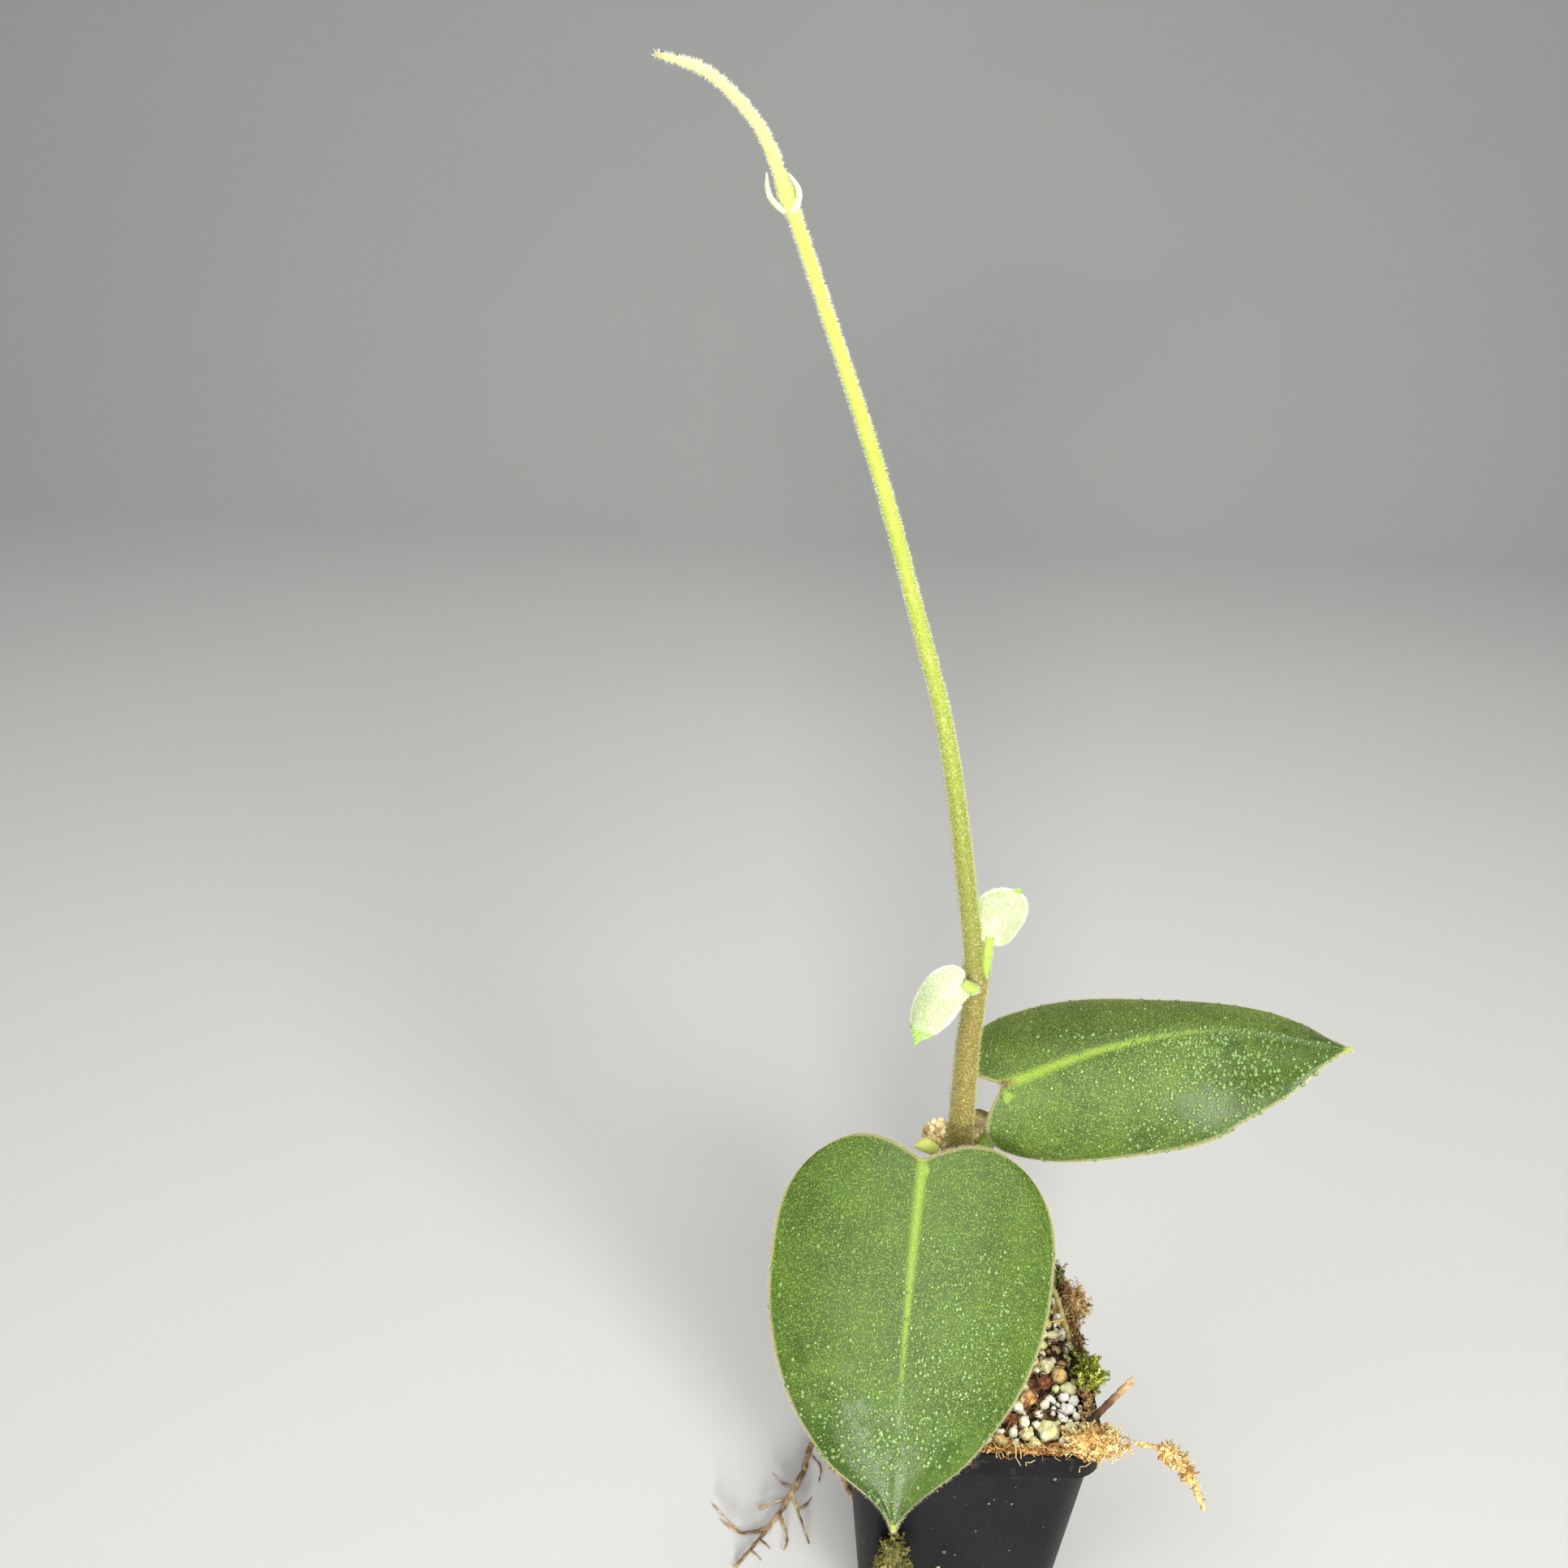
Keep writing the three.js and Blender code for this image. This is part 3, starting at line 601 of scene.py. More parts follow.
# Name, finish, slot, coarse and fine relief, first seed.
GRAIN_KINDS = [
    ("pumice_", pumice_finish, "mineral_grain", (1.5, 0.35), (0.5, 0.14), 0),
    ("perlite_", perlite_finish, "mineral_grain", (1.1, 0.5), (0.4, 0.2), 30),
    ("prill_", prill_finish, "fertiliser", (2.0, 0.08), (0.6, 0.02), 50),
]
for stem, finish, slot, coarse, fine, first_seed in GRAIN_KINDS:
    for i, name in enumerate(named(stem)):
        seat(refined(name, 2, coarse, fine, first_seed + i), finish, slot, name)
RIDGE_WIDTH = 0.45 * MM
RIDGE_LENGTH = 3.5 * MM
for i, name in enumerate(named("bark_chip_")):
    chip = refined(name, 4, (2.2, 0.5), (0.5, 0.15), 70 + i, "SIMPLE")
    corners = corners_of(chip)
    middle = corners.mean(0)
    _, axes = np.linalg.eigh(np.cov((corners - middle).T))
    held = (corners - middle) @ axes
    scaled = held / [RIDGE_WIDTH, RIDGE_WIDTH, RIDGE_LENGTH] + [0, 0, i]
    frayed = 1 + 0.28 * np.array([noise.noise(Vector(place)) for place in scaled])
    corners = middle + np.column_stack([held[:, 0] * frayed, held[:, 1] * frayed, held[:, 2]]) @ axes.T
    chip.data.vertices.foreach_set("co", corners.ravel())
    seat(chip, bark_finish, "bark", name)

STEM_FOOT = Vector((-8, 3, 62)) * MM
LARGE_GRIT = 130
GRIT_COUNT = 620
taken = []
for stem in ("pumice_", "perlite_", "prill_", "bark_chip_"):
    for low, high in (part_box(name) for name in named(stem)):
        taken.append(((low + high) / 2, (high - low).length / 3.6))
taken.append((STEM_FOOT, 4.2 * MM))
rng = np.random.default_rng(37)
grit = []
for x, y, z in on_mix(rng, 4200, 0.985):
    radius = (rng.uniform(1.3, 2.5) if len(grit) < LARGE_GRIT else rng.uniform(0.6, 1.4)) * MM
    spot = Vector((x, y, z))
    if all((spot - other).length > 0.88 * (radius + size) for other, size in taken):
        taken.append((spot, radius))
        grit.append((x, y, z + 0.3 * radius, radius))
    if len(grit) == GRIT_COUNT:
        break
spots, radii = np.split(np.array(grit), [3], axis=1)
radii = radii[:, 0]
frames = frames_along(rng.normal(size=(len(grit), 3)), radii * 1.08, radii * 0.98, rng, radii * 0.88)
shades = rng.uniform(0.0, 1.0, len(grit)) ** 0.6
perlite_patch = (np.abs(spots[:, 0] - 24 * MM) < 4.5 * MM) & (np.abs(spots[:, 1] + 16 * MM) < 5 * MM)
shades[perlite_patch] = rng.uniform(0.84, 1.0, perlite_patch.sum())
GRIT_TONES = [
    (0.30, 0.10, 0.03), (0.84, 0.60, 0.24), (0.80, 0.86, 0.36), (0.92, 0.93, 0.58), (0.96, 0.93, 0.70),
    (0.98, 0.97, 0.90),
]
grit_finish = earthen("mixed_grit", GRIT_TONES, None, (500.0, 0.35), (2600.0, 0.0004), 0.85)
spread("packed_grit", crumb_models(5, 10, 0.42), spots, frames, shades, grit_finish, "mineral_grain")

SPECKS = 44
WALL_OUTWARDS = np.array([(0, -1, 0), (1, 0, 0), (0, 1, 0), (-1, 0, 0)])
rng = np.random.default_rng(39)
heights, across = rng.uniform(5, 54, SPECKS) * MM, rng.uniform(-0.9, 0.9, SPECKS)
halves = np.array([wall_half(z) for z in heights])
outward = WALL_OUTWARDS[rng.choice([0, 1, 3], SPECKS, p=[0.7, 0.15, 0.15])]
along_wall = np.abs(outward[:, [1, 0, 2]])
spots = outward * halves[:, None] + along_wall * (across * halves * 0.8)[:, None]
spots[:, 2] = heights
sizes = rng.gamma(2.0, 0.14, SPECKS).clip(0.12, 0.6) * MM
frames = frames_along(outward, sizes * 0.7, sizes, rng)
SPECK_TONES = [(0.10, 0.06, 0.03), (0.26, 0.17, 0.08), (0.50, 0.44, 0.26)]
speck_finish = earthen("stuck_crumbs", SPECK_TONES, None, (500.0, 0.35), (2600.0, 0.0003))
specks = crumb_models(3, 20, 0.6, 6, 4)
spread("stuck_specks", specks, spots, frames, rng.random(SPECKS), speck_finish, "potting_mix")

# ---- Mosses ----
# Tufts of dead and living moss that came with the mix: tan sphagnum over the front corner, paler and
# green tufts along the right and back rims, one on the left corner and one low against the front wall.


def sprig_model(seed, leaflets, breadth=1.0):
    """A curved moss stalk of length 1 along Z with small pointed leaflets up it."""
    rng = np.random.default_rng(seed)
    steps = 5
    wander = np.cumsum(rng.normal(scale=0.09, size=(steps, 2)), axis=0)
    points = [(*wander[i], i / (steps - 1)) for i in range(steps)]
    corners, triangles = model_mesh(curved_strand("stalk", points, [0.035, 0.035, 0.03, 0.025, 0.01]))
    corners, triangles = list(corners), list(triangles)
    for k in range(leaflets):
        share = 0.15 + 0.85 * k / leaflets
        row = share * (steps - 1)
        low = min(int(row), steps - 2)
        root = np.array(points[low]) + (np.array(points[low + 1]) - np.array(points[low])) * (row - low)
        turn = 2.4 * k
        out = np.array([math.cos(turn), math.sin(turn), 0.9])
        flat = np.array([-math.sin(turn), math.cos(turn), 0.0]) * breadth
        reach = 0.26 * (1.25 - share)
        start = len(corners)
        corners += [root - flat * 0.045, root + flat * 0.045, root + [0, 0, 0.05], root + out * reach]
        triangles += [[start + k for k in trio] for trio in ((0, 3, 1), (1, 3, 2), (2, 3, 0), (0, 1, 2))]
    return np.array(corners), np.array(triangles)


fronds = [sprig_model(s, 8, 2.6) for s in (4, 5, 6)]
wisps = [fibre_model(s, 0.45, 7) for s in (21, 22, 23, 24)]


def over_lip(spots, lift):
    """Strands that would lie in the pot's wall or lip are lifted to lie over it."""
    ring = np.abs(spots[:, :2]).max(1)
    under = (ring > wall_half(LIP_FOOT) - POT_WALL) & (ring < POT_TOP / 2 + 0.2 * MM)
    under &= (spots[:, 2] < POT_HEIGHT + lift) & (spots[:, 2] > LIP_FOOT - 2 * MM)
    spots[under, 2] = POT_HEIGHT + lift
    return spots


def tuft(name, node_name, count, models, length, width, seed, tones, upward=0.5, spill=1.0, core_share=0.72):
    """A tuft in place of its plain solid: strands running every way about a shrunken, worn core."""
    rng = np.random.default_rng(seed)
    low, high = (np.array(corner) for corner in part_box(node_name))
    heart, reach = (low + high) / 2, (high - low) / 2
    outward = unit(rng.normal(size=(count, 3)))
    spots = heart + outward * reach * rng.uniform(0.25, 0.95, (count, 1)) * spill
    headings = unit(rng.normal(size=(count, 3)) * 0.9 + outward * 0.5 + np.array([0, 0, upward]))
    lengths = rng.uniform(0.6, 1.3, count) * length
    middles = over_lip(spots, 0.3 * MM)
    core = refined(node_name, 2, (1.6, 1.1), (0.5, 0.5), seed)
    core.name = name + "_core"
    inner = heart + (corners_of(core) - heart) * core_share
    core.data.vertices.foreach_set("co", inner.ravel())
    litter_finish = earthen(name + "_litter", tones[:3], 0.5, (700.0, 1.0), (2600.0, 0.0008), 0.95)
    seat(core, litter_finish, "moss")
    frames = frames_along(headings, lengths, lengths * width, rng)
    roots = middles - headings * lengths[:, None] * 0.4
    finish = earthen(name + "_finish", tones, None, (500.0, 0.5), (4000.0, 0.0001), 0.85)
    spread(name, models, roots, frames, rng.random(count), finish, "moss", node_name)


SPHAGNUM_TONES = [(0.36, 0.17, 0.045), (0.70, 0.43, 0.13), (0.90, 0.70, 0.29), (0.98, 0.90, 0.60)]
STRAW_TONES = [(0.22, 0.11, 0.035), (0.50, 0.29, 0.10), (0.78, 0.54, 0.22), (0.90, 0.76, 0.44)]
GREEN_TONES = [(0.10, 0.12, 0.012), (0.30, 0.34, 0.035), (0.52, 0.56, 0.07), (0.72, 0.72, 0.18)]
DARK_TONES = [(0.020, 0.022, 0.006), (0.06, 0.075, 0.014), (0.14, 0.16, 0.03), (0.30, 0.30, 0.07)]
CLUMP_TONES = [(0.05, 0.045, 0.012), (0.14, 0.13, 0.03), (0.28, 0.25, 0.06), (0.46, 0.42, 0.14)]
tuft("sphagnum_corner", "rim_sphagnum", 620, fronds, 2.3 * MM, 1.5, 61, SPHAGNUM_TONES, 0.1, 0.95, 0.8)
tuft("straw_moss", "rim_moss_right", 300, fronds + wisps, 2.4 * MM, 1.3, 62, STRAW_TONES, 0.2, 0.9)
tuft("back_moss", "rim_moss_back", 320, fronds, 2.8 * MM, 1.2, 63, DARK_TONES, 0.6, 0.9)
tuft("green_moss_sprigs", "green_moss", 150, fronds, 4.6 * MM, 1.1, 64, GREEN_TONES, 0.7, 0.85)
tuft("left_moss", "left_moss_tuft", 240, fronds + wisps, 3.0 * MM, 1.2, 65, STRAW_TONES, 0.2)
tuft("front_moss", "front_moss_clump", 900, fronds, 2.8 * MM, 1.2, 66, CLUMP_TONES, 0.4, 0.95, 0.85)

# ---- Loose sphagnum strand and the litter on the rims ----
# One long curled strand of dead sphagnum has slid off the corner and hangs down to the right. Coir, short
# threads and bits of moss lie along all four rims. The routes for stems and roots are laid here too.


def smooth_route(points, count):
    """Evenly spaced points on a centripetal Catmull-Rom line, and the unit direction at each."""
    beads = [Vector(p) for p in points]
    beads = [2 * beads[0] - beads[1], *beads, 2 * beads[-1] - beads[-2]]
    fine = []
    for a, b, c, d in zip(beads, beads[1:], beads[2:], beads[3:]):
        tb = (b - a).length ** 0.5
        tc = tb + (c - b).length ** 0.5
        td = tc + (d - c).length ** 0.5
        for step in range(32):
            t = tb + (tc - tb) * step / 32
            first, second = a.lerp(b, t / tb), b.lerp(c, (t - tb) / (tc - tb))
            third = c.lerp(d, (t - tc) / (td - tc))
            early, late = first.lerp(second, t / tc), second.lerp(third, (t - tb) / (td - tb))
            fine.append(early.lerp(late, (t - tb) / (tc - tb)))
    fine = np.array([*fine, beads[-2]])
    run = np.concatenate([[0], np.cumsum(np.linalg.norm(np.diff(fine, axis=0), axis=1))])
    even = np.linspace(0, run[-1], count)
    spine = np.stack([np.interp(even, run, fine[:, k]) for k in range(3)], axis=1)
    return spine, unit(np.gradient(spine, axis=0))


def read_stations(stations, shares):
    return np.interp(shares, [s for s, _ in stations], [v for _, v in stations])


def limb(name, points, stations, steps, sides=8):
    """A stem or root of changing radius; points and radii are in millimetres, as in the part's source."""
    spine, _ = smooth_route(np.array(points) * MM, steps + 1)
    radii = read_stations(stations, np.linspace(0, 1, steps + 1)) * MM
    return curved_strand(name, spine, radii, sides)


def roughen(piece, wave, depth, seed=0):
    """Pushes a skin in and out by smooth noise. wave, its length, and depth are in millimetres."""
    wave, depth = wave * MM, depth * MM
    shift = Vector((0, 0.017 * seed, 0))
    outs = [v.normal.copy() for v in piece.data.vertices]
    for corner, out in zip(piece.data.vertices, outs):
        corner.co += out * depth * noise.noise((corner.co + shift) / wave)


STRAND_ROUTE = [(38, -30.5, 66), (44, -33, 67), (49, -33, 62.6), (53.4, -33, 55.4), (57, -33, 47.8)]
STRAND_RADII = [(0, 0.5), (0.16, 0.45), (0.24, 1.5), (0.42, 1.35), (0.6, 1.05), (0.8, 0.8), (1, 0.25)]
curl = limb("sphagnum_curl", STRAND_ROUTE, STRAND_RADII, 150, 14)
roughen(curl, 1.1, 0.75, 1)
roughen(curl, 0.4, 0.3, 2)
select_only(curl)
bpy.ops.object.shade_smooth()
dry_sphagnum = earthen("dry_sphagnum", SPHAGNUM_TONES, 0.45, (600.0, 1.0), (3200.0, 0.0006), 0.9)
seat(curl, dry_sphagnum, "moss", "sphagnum_strand")
STRAND_STEPS = 160
FLAKES = 260
FIRST_FLAKE_STEP = 40
spine, run = smooth_route(np.array(STRAND_ROUTE) * MM, STRAND_STEPS)
rng = np.random.default_rng(71)
at_step = (FIRST_FLAKE_STEP + np.abs(rng.normal(scale=42, size=FLAKES))).astype(int)
at_step = np.minimum(STRAND_STEPS - 1, at_step)
swell = read_stations(STRAND_RADII, at_step / (STRAND_STEPS - 1)) * MM
outward = unit(rng.normal(size=(FLAKES, 3)))
spots = spine[at_step] + outward * swell[:, None] * 0.7
onward = run[at_step] * rng.uniform(-0.2, 1.0, (FLAKES, 1))
headings = unit(onward + outward + 0.4 * rng.normal(size=(FLAKES, 3)))
lengths = swell * rng.uniform(0.8, 1.6, FLAKES) + 0.3 * MM
frames = frames_along(headings, lengths, lengths * 1.4, rng)
flake_finish = earthen("sphagnum_flake", SPHAGNUM_TONES, None, (500.0, 0.5), (4000.0, 0.0001), 0.85)
spread("sphagnum_flakes", fronds, spots, frames, rng.random(FLAKES), flake_finish, "moss")


def litter(name, count, middle, reach, models, length, width, seed, tones, run_axis):
    """Loose bits strewn along a stretch of the rim, mostly lying along it. Places are in millimetres."""
    rng = np.random.default_rng(seed)
    spots = (np.array(middle) + np.array(reach) * np.clip(rng.normal(scale=0.5, size=(count, 3)), -1, 1)) * MM
    spots[:, run_axis] = (middle[run_axis] + reach[run_axis] * rng.uniform(-1, 1, count)) * MM
    headings = rng.normal(scale=0.4, size=(count, 3))
    headings[:, run_axis] += rng.choice([-1, 1], count)
    headings = unit(headings)
    lengths = rng.uniform(0.5, 1.3, count) * length * MM
    frames = frames_along(headings, lengths, lengths * width, rng)
    spots = over_lip(spots, 0.35 * MM) - headings * lengths[:, None] / 2
    finish = earthen(name + "_finish", tones, None, (600.0, 0.5), (4000.0, 0.0001), 0.85)
    spread(name, models, spots, frames, rng.random(count), finish, "moss")


RIM_TONES = [(0.22, 0.075, 0.016), (0.52, 0.23, 0.05), (0.78, 0.46, 0.13), (0.90, 0.72, 0.34)]
litter("front_rim_coir", 330, (17, -30.3, 62.2), (15, 1.2, 0.6), fronds, 1.5, 1.5, 72, RIM_TONES, 0)
litter("front_rim_threads", 60, (18, -30.6, 62.8), (16, 1.1, 0.5), wisps, 5.5, 0.55, 73, RIM_TONES, 0)
litter("right_rim_litter", 520, (30.0, 3, 62.2), (2.0, 28, 1.0), fronds, 2.0, 1.5, 74, STRAW_TONES, 1)
litter("right_rim_threads", 70, (30.2, 12, 63.0), (1.6, 19, 0.7), wisps, 6.0, 0.5, 75, FIBRE_TONES, 1)
litter("right_rim_dark_moss", 170, (28.8, 2, 62.6), (1.6, 8, 0.8), fronds, 2.2, 1.3, 76, DARK_TONES, 1)
litter("left_rim_litter", 260, (-30.2, -4, 62.2), (1.3, 24, 0.7), fronds, 1.8, 1.4, 77, STRAW_TONES, 1)
litter("back_rim_litter", 300, (0, 30.2, 62.4), (26, 1.4, 0.8), fronds, 1.9, 1.4, 78, CLUMP_TONES, 0)

# ---- Twig and roots ----
# A snapped twig stands in the mix over the right rim. A yellow root lies on the mix, and a thin branched
# root has grown out of the left drain slot and over the ground. The thick roots inside hold the cutting.


def joined(name, pieces):
    """Pieces joined into one of the given name, smoothly shaded."""
    unselect()
    for piece in pieces:
        piece.select_set(True)
    bpy.context.view_layer.objects.active = pieces[0]
    if len(pieces) > 1:
        bpy.ops.object.join()
    whole = bpy.context.object
    whole.name = name
    bpy.ops.object.shade_smooth()
    return whole


TWIG_TONES = [(0.03, 0.014, 0.006), (0.12, 0.058, 0.026), (0.42, 0.26, 0.12), (0.68, 0.46, 0.22)]
TWIG_LINES = [
    ([(28, -23, 63.6), (33, -19.6, 66.8), (39.1, -15.5, 70.5)], [(0, 0.95), (0.9, 0.8), (1, 0.5)], 40, 10),
    ([(37.6, -16.2, 69.8), (39.4, -15.0, 71.2), (40.6, -14.4, 71.6)], [(0, 0.5), (1, 0.12)], 12, 6),
    ([(37.9, -16.9, 69.6), (39.8, -16.2, 70.7), (41.2, -15.6, 71.0)], [(0, 0.45), (1, 0.1)], 12, 6),
]
twig_rods = [limb("rod", *line) for line in TWIG_LINES]
twig = joined("snapped_twig", twig_rods)
roughen(twig, 0.9, 0.22, 3)

twig_bark = earthen("twig_bark", TWIG_TONES, ("X", 0.029, 0.041), (500.0, 0.4), (2500.0, 0.0004), 0.8)
seat(twig, twig_bark, "bark", "twig")

ROOT_TONES = [(0.06, 0.034, 0.014), (0.18, 0.11, 0.050), (0.42, 0.27, 0.13), (0.64, 0.47, 0.26)]
GROUND_Z = 0.9
ROOT_LINES = [
    ([(-20.5, 4), (-26, 13), (-32, 29), (-36, 30), (-39, 19)], 0.85, 0.8),
    ([(-39, 19), (-45.6, 4.4), (-52.4, -6.7), (-57.2, -13.9)], 0.8, 0.35),
    ([(-42.3, 12.1), (-40, 4), (-37.3, -5.2)], 0.5, 0.22),
    ([(-48.9, -1.2), (-56.1, -2.6), (-61.9, 1.7)], 0.5, 0.22),
    ([(-45.6, 4.4), (-43.3, -3.6), (-44.1, -8.1)], 0.5, 0.2),
    ([(-40.4, 6), (-38, 8), (-36.7, 10.4)], 0.3, 0.14),
    ([(-43.5, 9.4), (-48, 7.6), (-52.4, 5.2)], 0.32, 0.14),
    ([(-51, -4.6), (-49, -6), (-47.6, -8)], 0.3, 0.13),
    ([(-56.1, -2.6), (-60.4, 2.2), (-64.4, 7.1)], 0.3, 0.13),
    ([(-53.4, -8.3), (-51.4, -9.6), (-50.3, -11)], 0.3, 0.13),
    ([(-37, 26), (-34, 21), (-34.6, 16)], 0.34, 0.14),
    ([(-41.4, 13.8), (-45, 15), (-47.5, 18.2)], 0.3, 0.12),
]
root_lines = []
for k, (flat, thick, thin) in enumerate(ROOT_LINES):
    heights = [GROUND_Z] + [max(thin, GROUND_Z - 0.12 * i) for i in range(1, len(flat))]
    points = [(x, y, z) for (x, y), z in zip(flat, heights)]
    root_lines.append(limb("root", points, [(0, thick), (1, thin)], 60 if k < 2 else 26, 8))
ground_root = joined("ground_root", root_lines)
roughen(ground_root, 1.3, 0.28, 5)
root_finish = earthen("root_skin", ROOT_TONES, 0.55, (300.0, 1.0), (2800.0, 0.0004), 0.85)
seat(ground_root, root_finish, "root", "drain_root")

YELLOW_ROOT_TONES = [(0.16, 0.11, 0.025), (0.40, 0.30, 0.08), (0.62, 0.50, 0.17), (0.76, 0.68, 0.32)]
SURFACE_LINE = [(26.5, 27, 0.6), (27, 20, 1.5), (27.6, 13, 1.6), (28.4, 4, 1.2)]
surface_points = [(x, y, mix_top(x * MM, y * MM) / MM + 0.6 + up) for x, y, up in SURFACE_LINE]
surface_root = joined("yellow_root", [
    limb("root", surface_points, [(0, 0.7), (0.8, 0.75), (1, 0.3)], 60, 8),
    limb("root", [surface_points[2], (24, 10, 66.2), (21, 9, 65.4)], [(0, 0.4), (1, 0.15)], 20, 6),
])
roughen(surface_root, 1.2, 0.25, 7)
yellow_skin = earthen("yellow_root_skin", YELLOW_ROOT_TONES, 0.6, (320.0, 0.8), (2800.0, 0.0003), 0.75)
seat(surface_root, yellow_skin, "root", "surface_root")
for name in named("buried_root_"):
    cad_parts[name].data.materials.clear()
    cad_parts[name].data.materials.append(root_finish)

# ---- Old stem ----
# The cutting itself: a woody stem rooted in the mix, swollen at its one node, with a dry cut stub
# beside the new shoot and a granular callus where it healed.
NODE_Z = 126
OLD_RADIUS = 3.3
STEM_ROUTE = [(-7, 3, 20), (-8, 3, 60), (-8.5, 1.5, 95), (-6.2, 0, NODE_Z + 1.2)]
STEM_RADII = [(0, OLD_RADIUS * 0.9), (0.8, OLD_RADIUS), (0.94, OLD_RADIUS * 1.35), (1, OLD_RADIUS * 1.25)]
STUB_ROUTE = [(-4.5, 0.8, NODE_Z - 3), (-1.5, 2, NODE_Z + 4), (-0.6, 2.6, NODE_Z + 9)]
STUB_RADII = [(0, 2.8), (0.6, 2.7), (0.93, 2.95), (1, 2.6)]
stem_parts = [limb("stem", STEM_ROUTE, STEM_RADII, 150, 18), limb("stub", STUB_ROUTE, STUB_RADII, 36, 16)]
for part in stem_parts:
    roughen(part, 2.2, 0.35, 9)
    roughen(part, 0.7, 0.16, 10)
CALLUS_PLACE = np.array((-11.6, 1.6, NODE_Z + 3.4))
CALLUS_REACH = np.array((3.2, 2.6, 4.6))
STUB_PLACE = np.array((-1.0, 2.0, NODE_Z + 4.6))
STUB_REACH = np.array((3.3, 3.0, 5.0))
unselect()
bpy.ops.mesh.primitive_ico_sphere_add(subdivisions=4, radius=1, location=(0, 0, 0))
callus_core = bpy.context.object
for corner in callus_core.data.vertices:
    corner.co = Vector((CALLUS_PLACE + CALLUS_REACH * 0.8 * np.array(corner.co)) * MM)
BEADS = 220
HALF_BEADS = BEADS // 2  # on the callus; the others are on the stub
SKIN_SHARE = 0.82
rng = np.random.default_rng(79)
outward = unit(rng.normal(size=(BEADS, 3)))
radii = rng.uniform(0.55, 1.15, BEADS) * MM
frames = frames_along(outward, radii, radii, rng)
places = CALLUS_PLACE + outward * CALLUS_REACH * SKIN_SHARE
places[HALF_BEADS:] = STUB_PLACE + outward[HALF_BEADS:] * STUB_REACH * SKIN_SHARE
CALLUS_TONES = [(0.42, 0.28, 0.10), (0.78, 0.62, 0.30), (0.95, 0.85, 0.52)]
callus_finish = earthen("callus_finish", CALLUS_TONES, None, (500.0, 0.6), (2600.0, 0.0004), 0.85)
callus = crumb_models(3, 30, 0.5, 8, 6)
spread("callus", callus, places * MM, frames, rng.random(BEADS), callus_finish, "old_stem")
stem = joined("old_stem", [*stem_parts, callus_core])
STEM_TONES = [(0.06, 0.036, 0.013), (0.22, 0.145, 0.045), (0.46, 0.32, 0.12), (0.80, 0.60, 0.32)]
corky_stem = earthen("corky_stem", STEM_TONES, ("Z", 0.02, 0.136), (260.0, 0.75), (1900.0, 0.0006), 0.85)
seat(stem, corky_stem, "old_stem", "cutting_stem")

# ---- Down ----
# Every young part of this plant wears a coat of short stiff pale hairs, which gives its felty look.
# One hair is a three-sided spike, modelled once and copied over each skin.
unselect()
bpy.ops.mesh.primitive_cone_add(vertices=3, radius1=1, radius2=0, depth=1, location=(0, 0, 0.5))
bpy.ops.object.transform_apply(location=True)
hair = model_mesh(bpy.context.object)


def skin_spots(piece, count, rng, density=None):
    """Random spots on a skin with the outward direction at each. density weighs each corner's stretch."""
    mesh = piece.data
    mesh.calc_loop_triangles()
    trios = np.empty(len(mesh.loop_triangles) * 3, np.int32)
    mesh.loop_triangles.foreach_get("vertices", trios)
    trios = trios.reshape(-1, 3)
    places = corners_of(piece)
    outs = np.empty(len(places) * 3)
    mesh.vertices.foreach_get("normal", outs)
    outs = outs.reshape(-1, 3)
    a, b, c = (places[trios[:, k]] for k in range(3))
    weight = np.linalg.norm(np.cross(b - a, c - a), axis=1)
    if density is not None:
        weight = weight * density[trios].mean(1)
    chosen = rng.choice(len(trios), count, p=weight / weight.sum())
    first, second = np.sqrt(rng.random(count)), rng.random(count)
    shares = np.column_stack([1 - first, first * (1 - second), first * second])
    picked = trios[chosen]
    spots = np.einsum("nk,nkj->nj", shares, places[picked])
    return spots, unit(np.einsum("nk,nkj->nj", shares, outs[picked]))


def down(name, skin, count, length, thick, lean, seed, finish, slot, density=None):
    """A coat of hairs on a finished skin. length and thick are in millimetres."""
    rng = np.random.default_rng(seed)
    spots, outs = skin_spots(skin, count, rng, density)
    headings = unit(outs + lean * rng.normal(size=outs.shape))
    lengths = length * MM * rng.uniform(0.5, 1.35, count)
    widths = np.full(count, thick * MM) * rng.uniform(0.8, 1.2, count)
    frames = frames_along(headings, lengths, widths, rng)
    spread(name, [hair], spots - outs * 0.04 * MM, frames, rng.random(count), finish, slot)


def hair_finish(name, tones):
    return earthen(name, tones, None, (60.0, 0.3), (3000.0, 0.00002), 0.6)


# ---- New shoot ----
# One long whip from the old node, olive-brown and stiff below, lime and then pale yellow where it is
# youngest, swollen at its two nodes and hooked over at the growing tip.
SHOOT_ROUTE = [
    (-6.2, -0.8, 128), (-6.5, -0.6, 153.5), (-6.1, 0.5, 172.9), (-10.2, 1.8, 199.3), (-17.2, 3.3, 233.8),
    (-25.6, 4, 260.8), (-34.6, 3.8, 288.2), (-48.7, 2.2, 324.6), (-55.7, 0.8, 342.2), (-61.4, -0.8, 354.1),
    (-71.2, -2.8, 363), (-80.6, -4, 365.6),
]
SHOOT_RADII = [
    (0, 2.9), (0.155, 2.5), (0.174, 3.0), (0.195, 2.15), (0.45, 1.65), (0.8, 1.25),
    (0.842, 1.3), (0.858, 1.75), (0.876, 1.15), (0.97, 0.85), (1, 0.4),
]
shoot = limb("shoot", SHOOT_ROUTE, SHOOT_RADII, 460, 16)
roughen(shoot, 5, 0.08, 11)
roughen(shoot, 0.9, 0.06, 12)
shoot = joined("whip_shoot", [shoot])


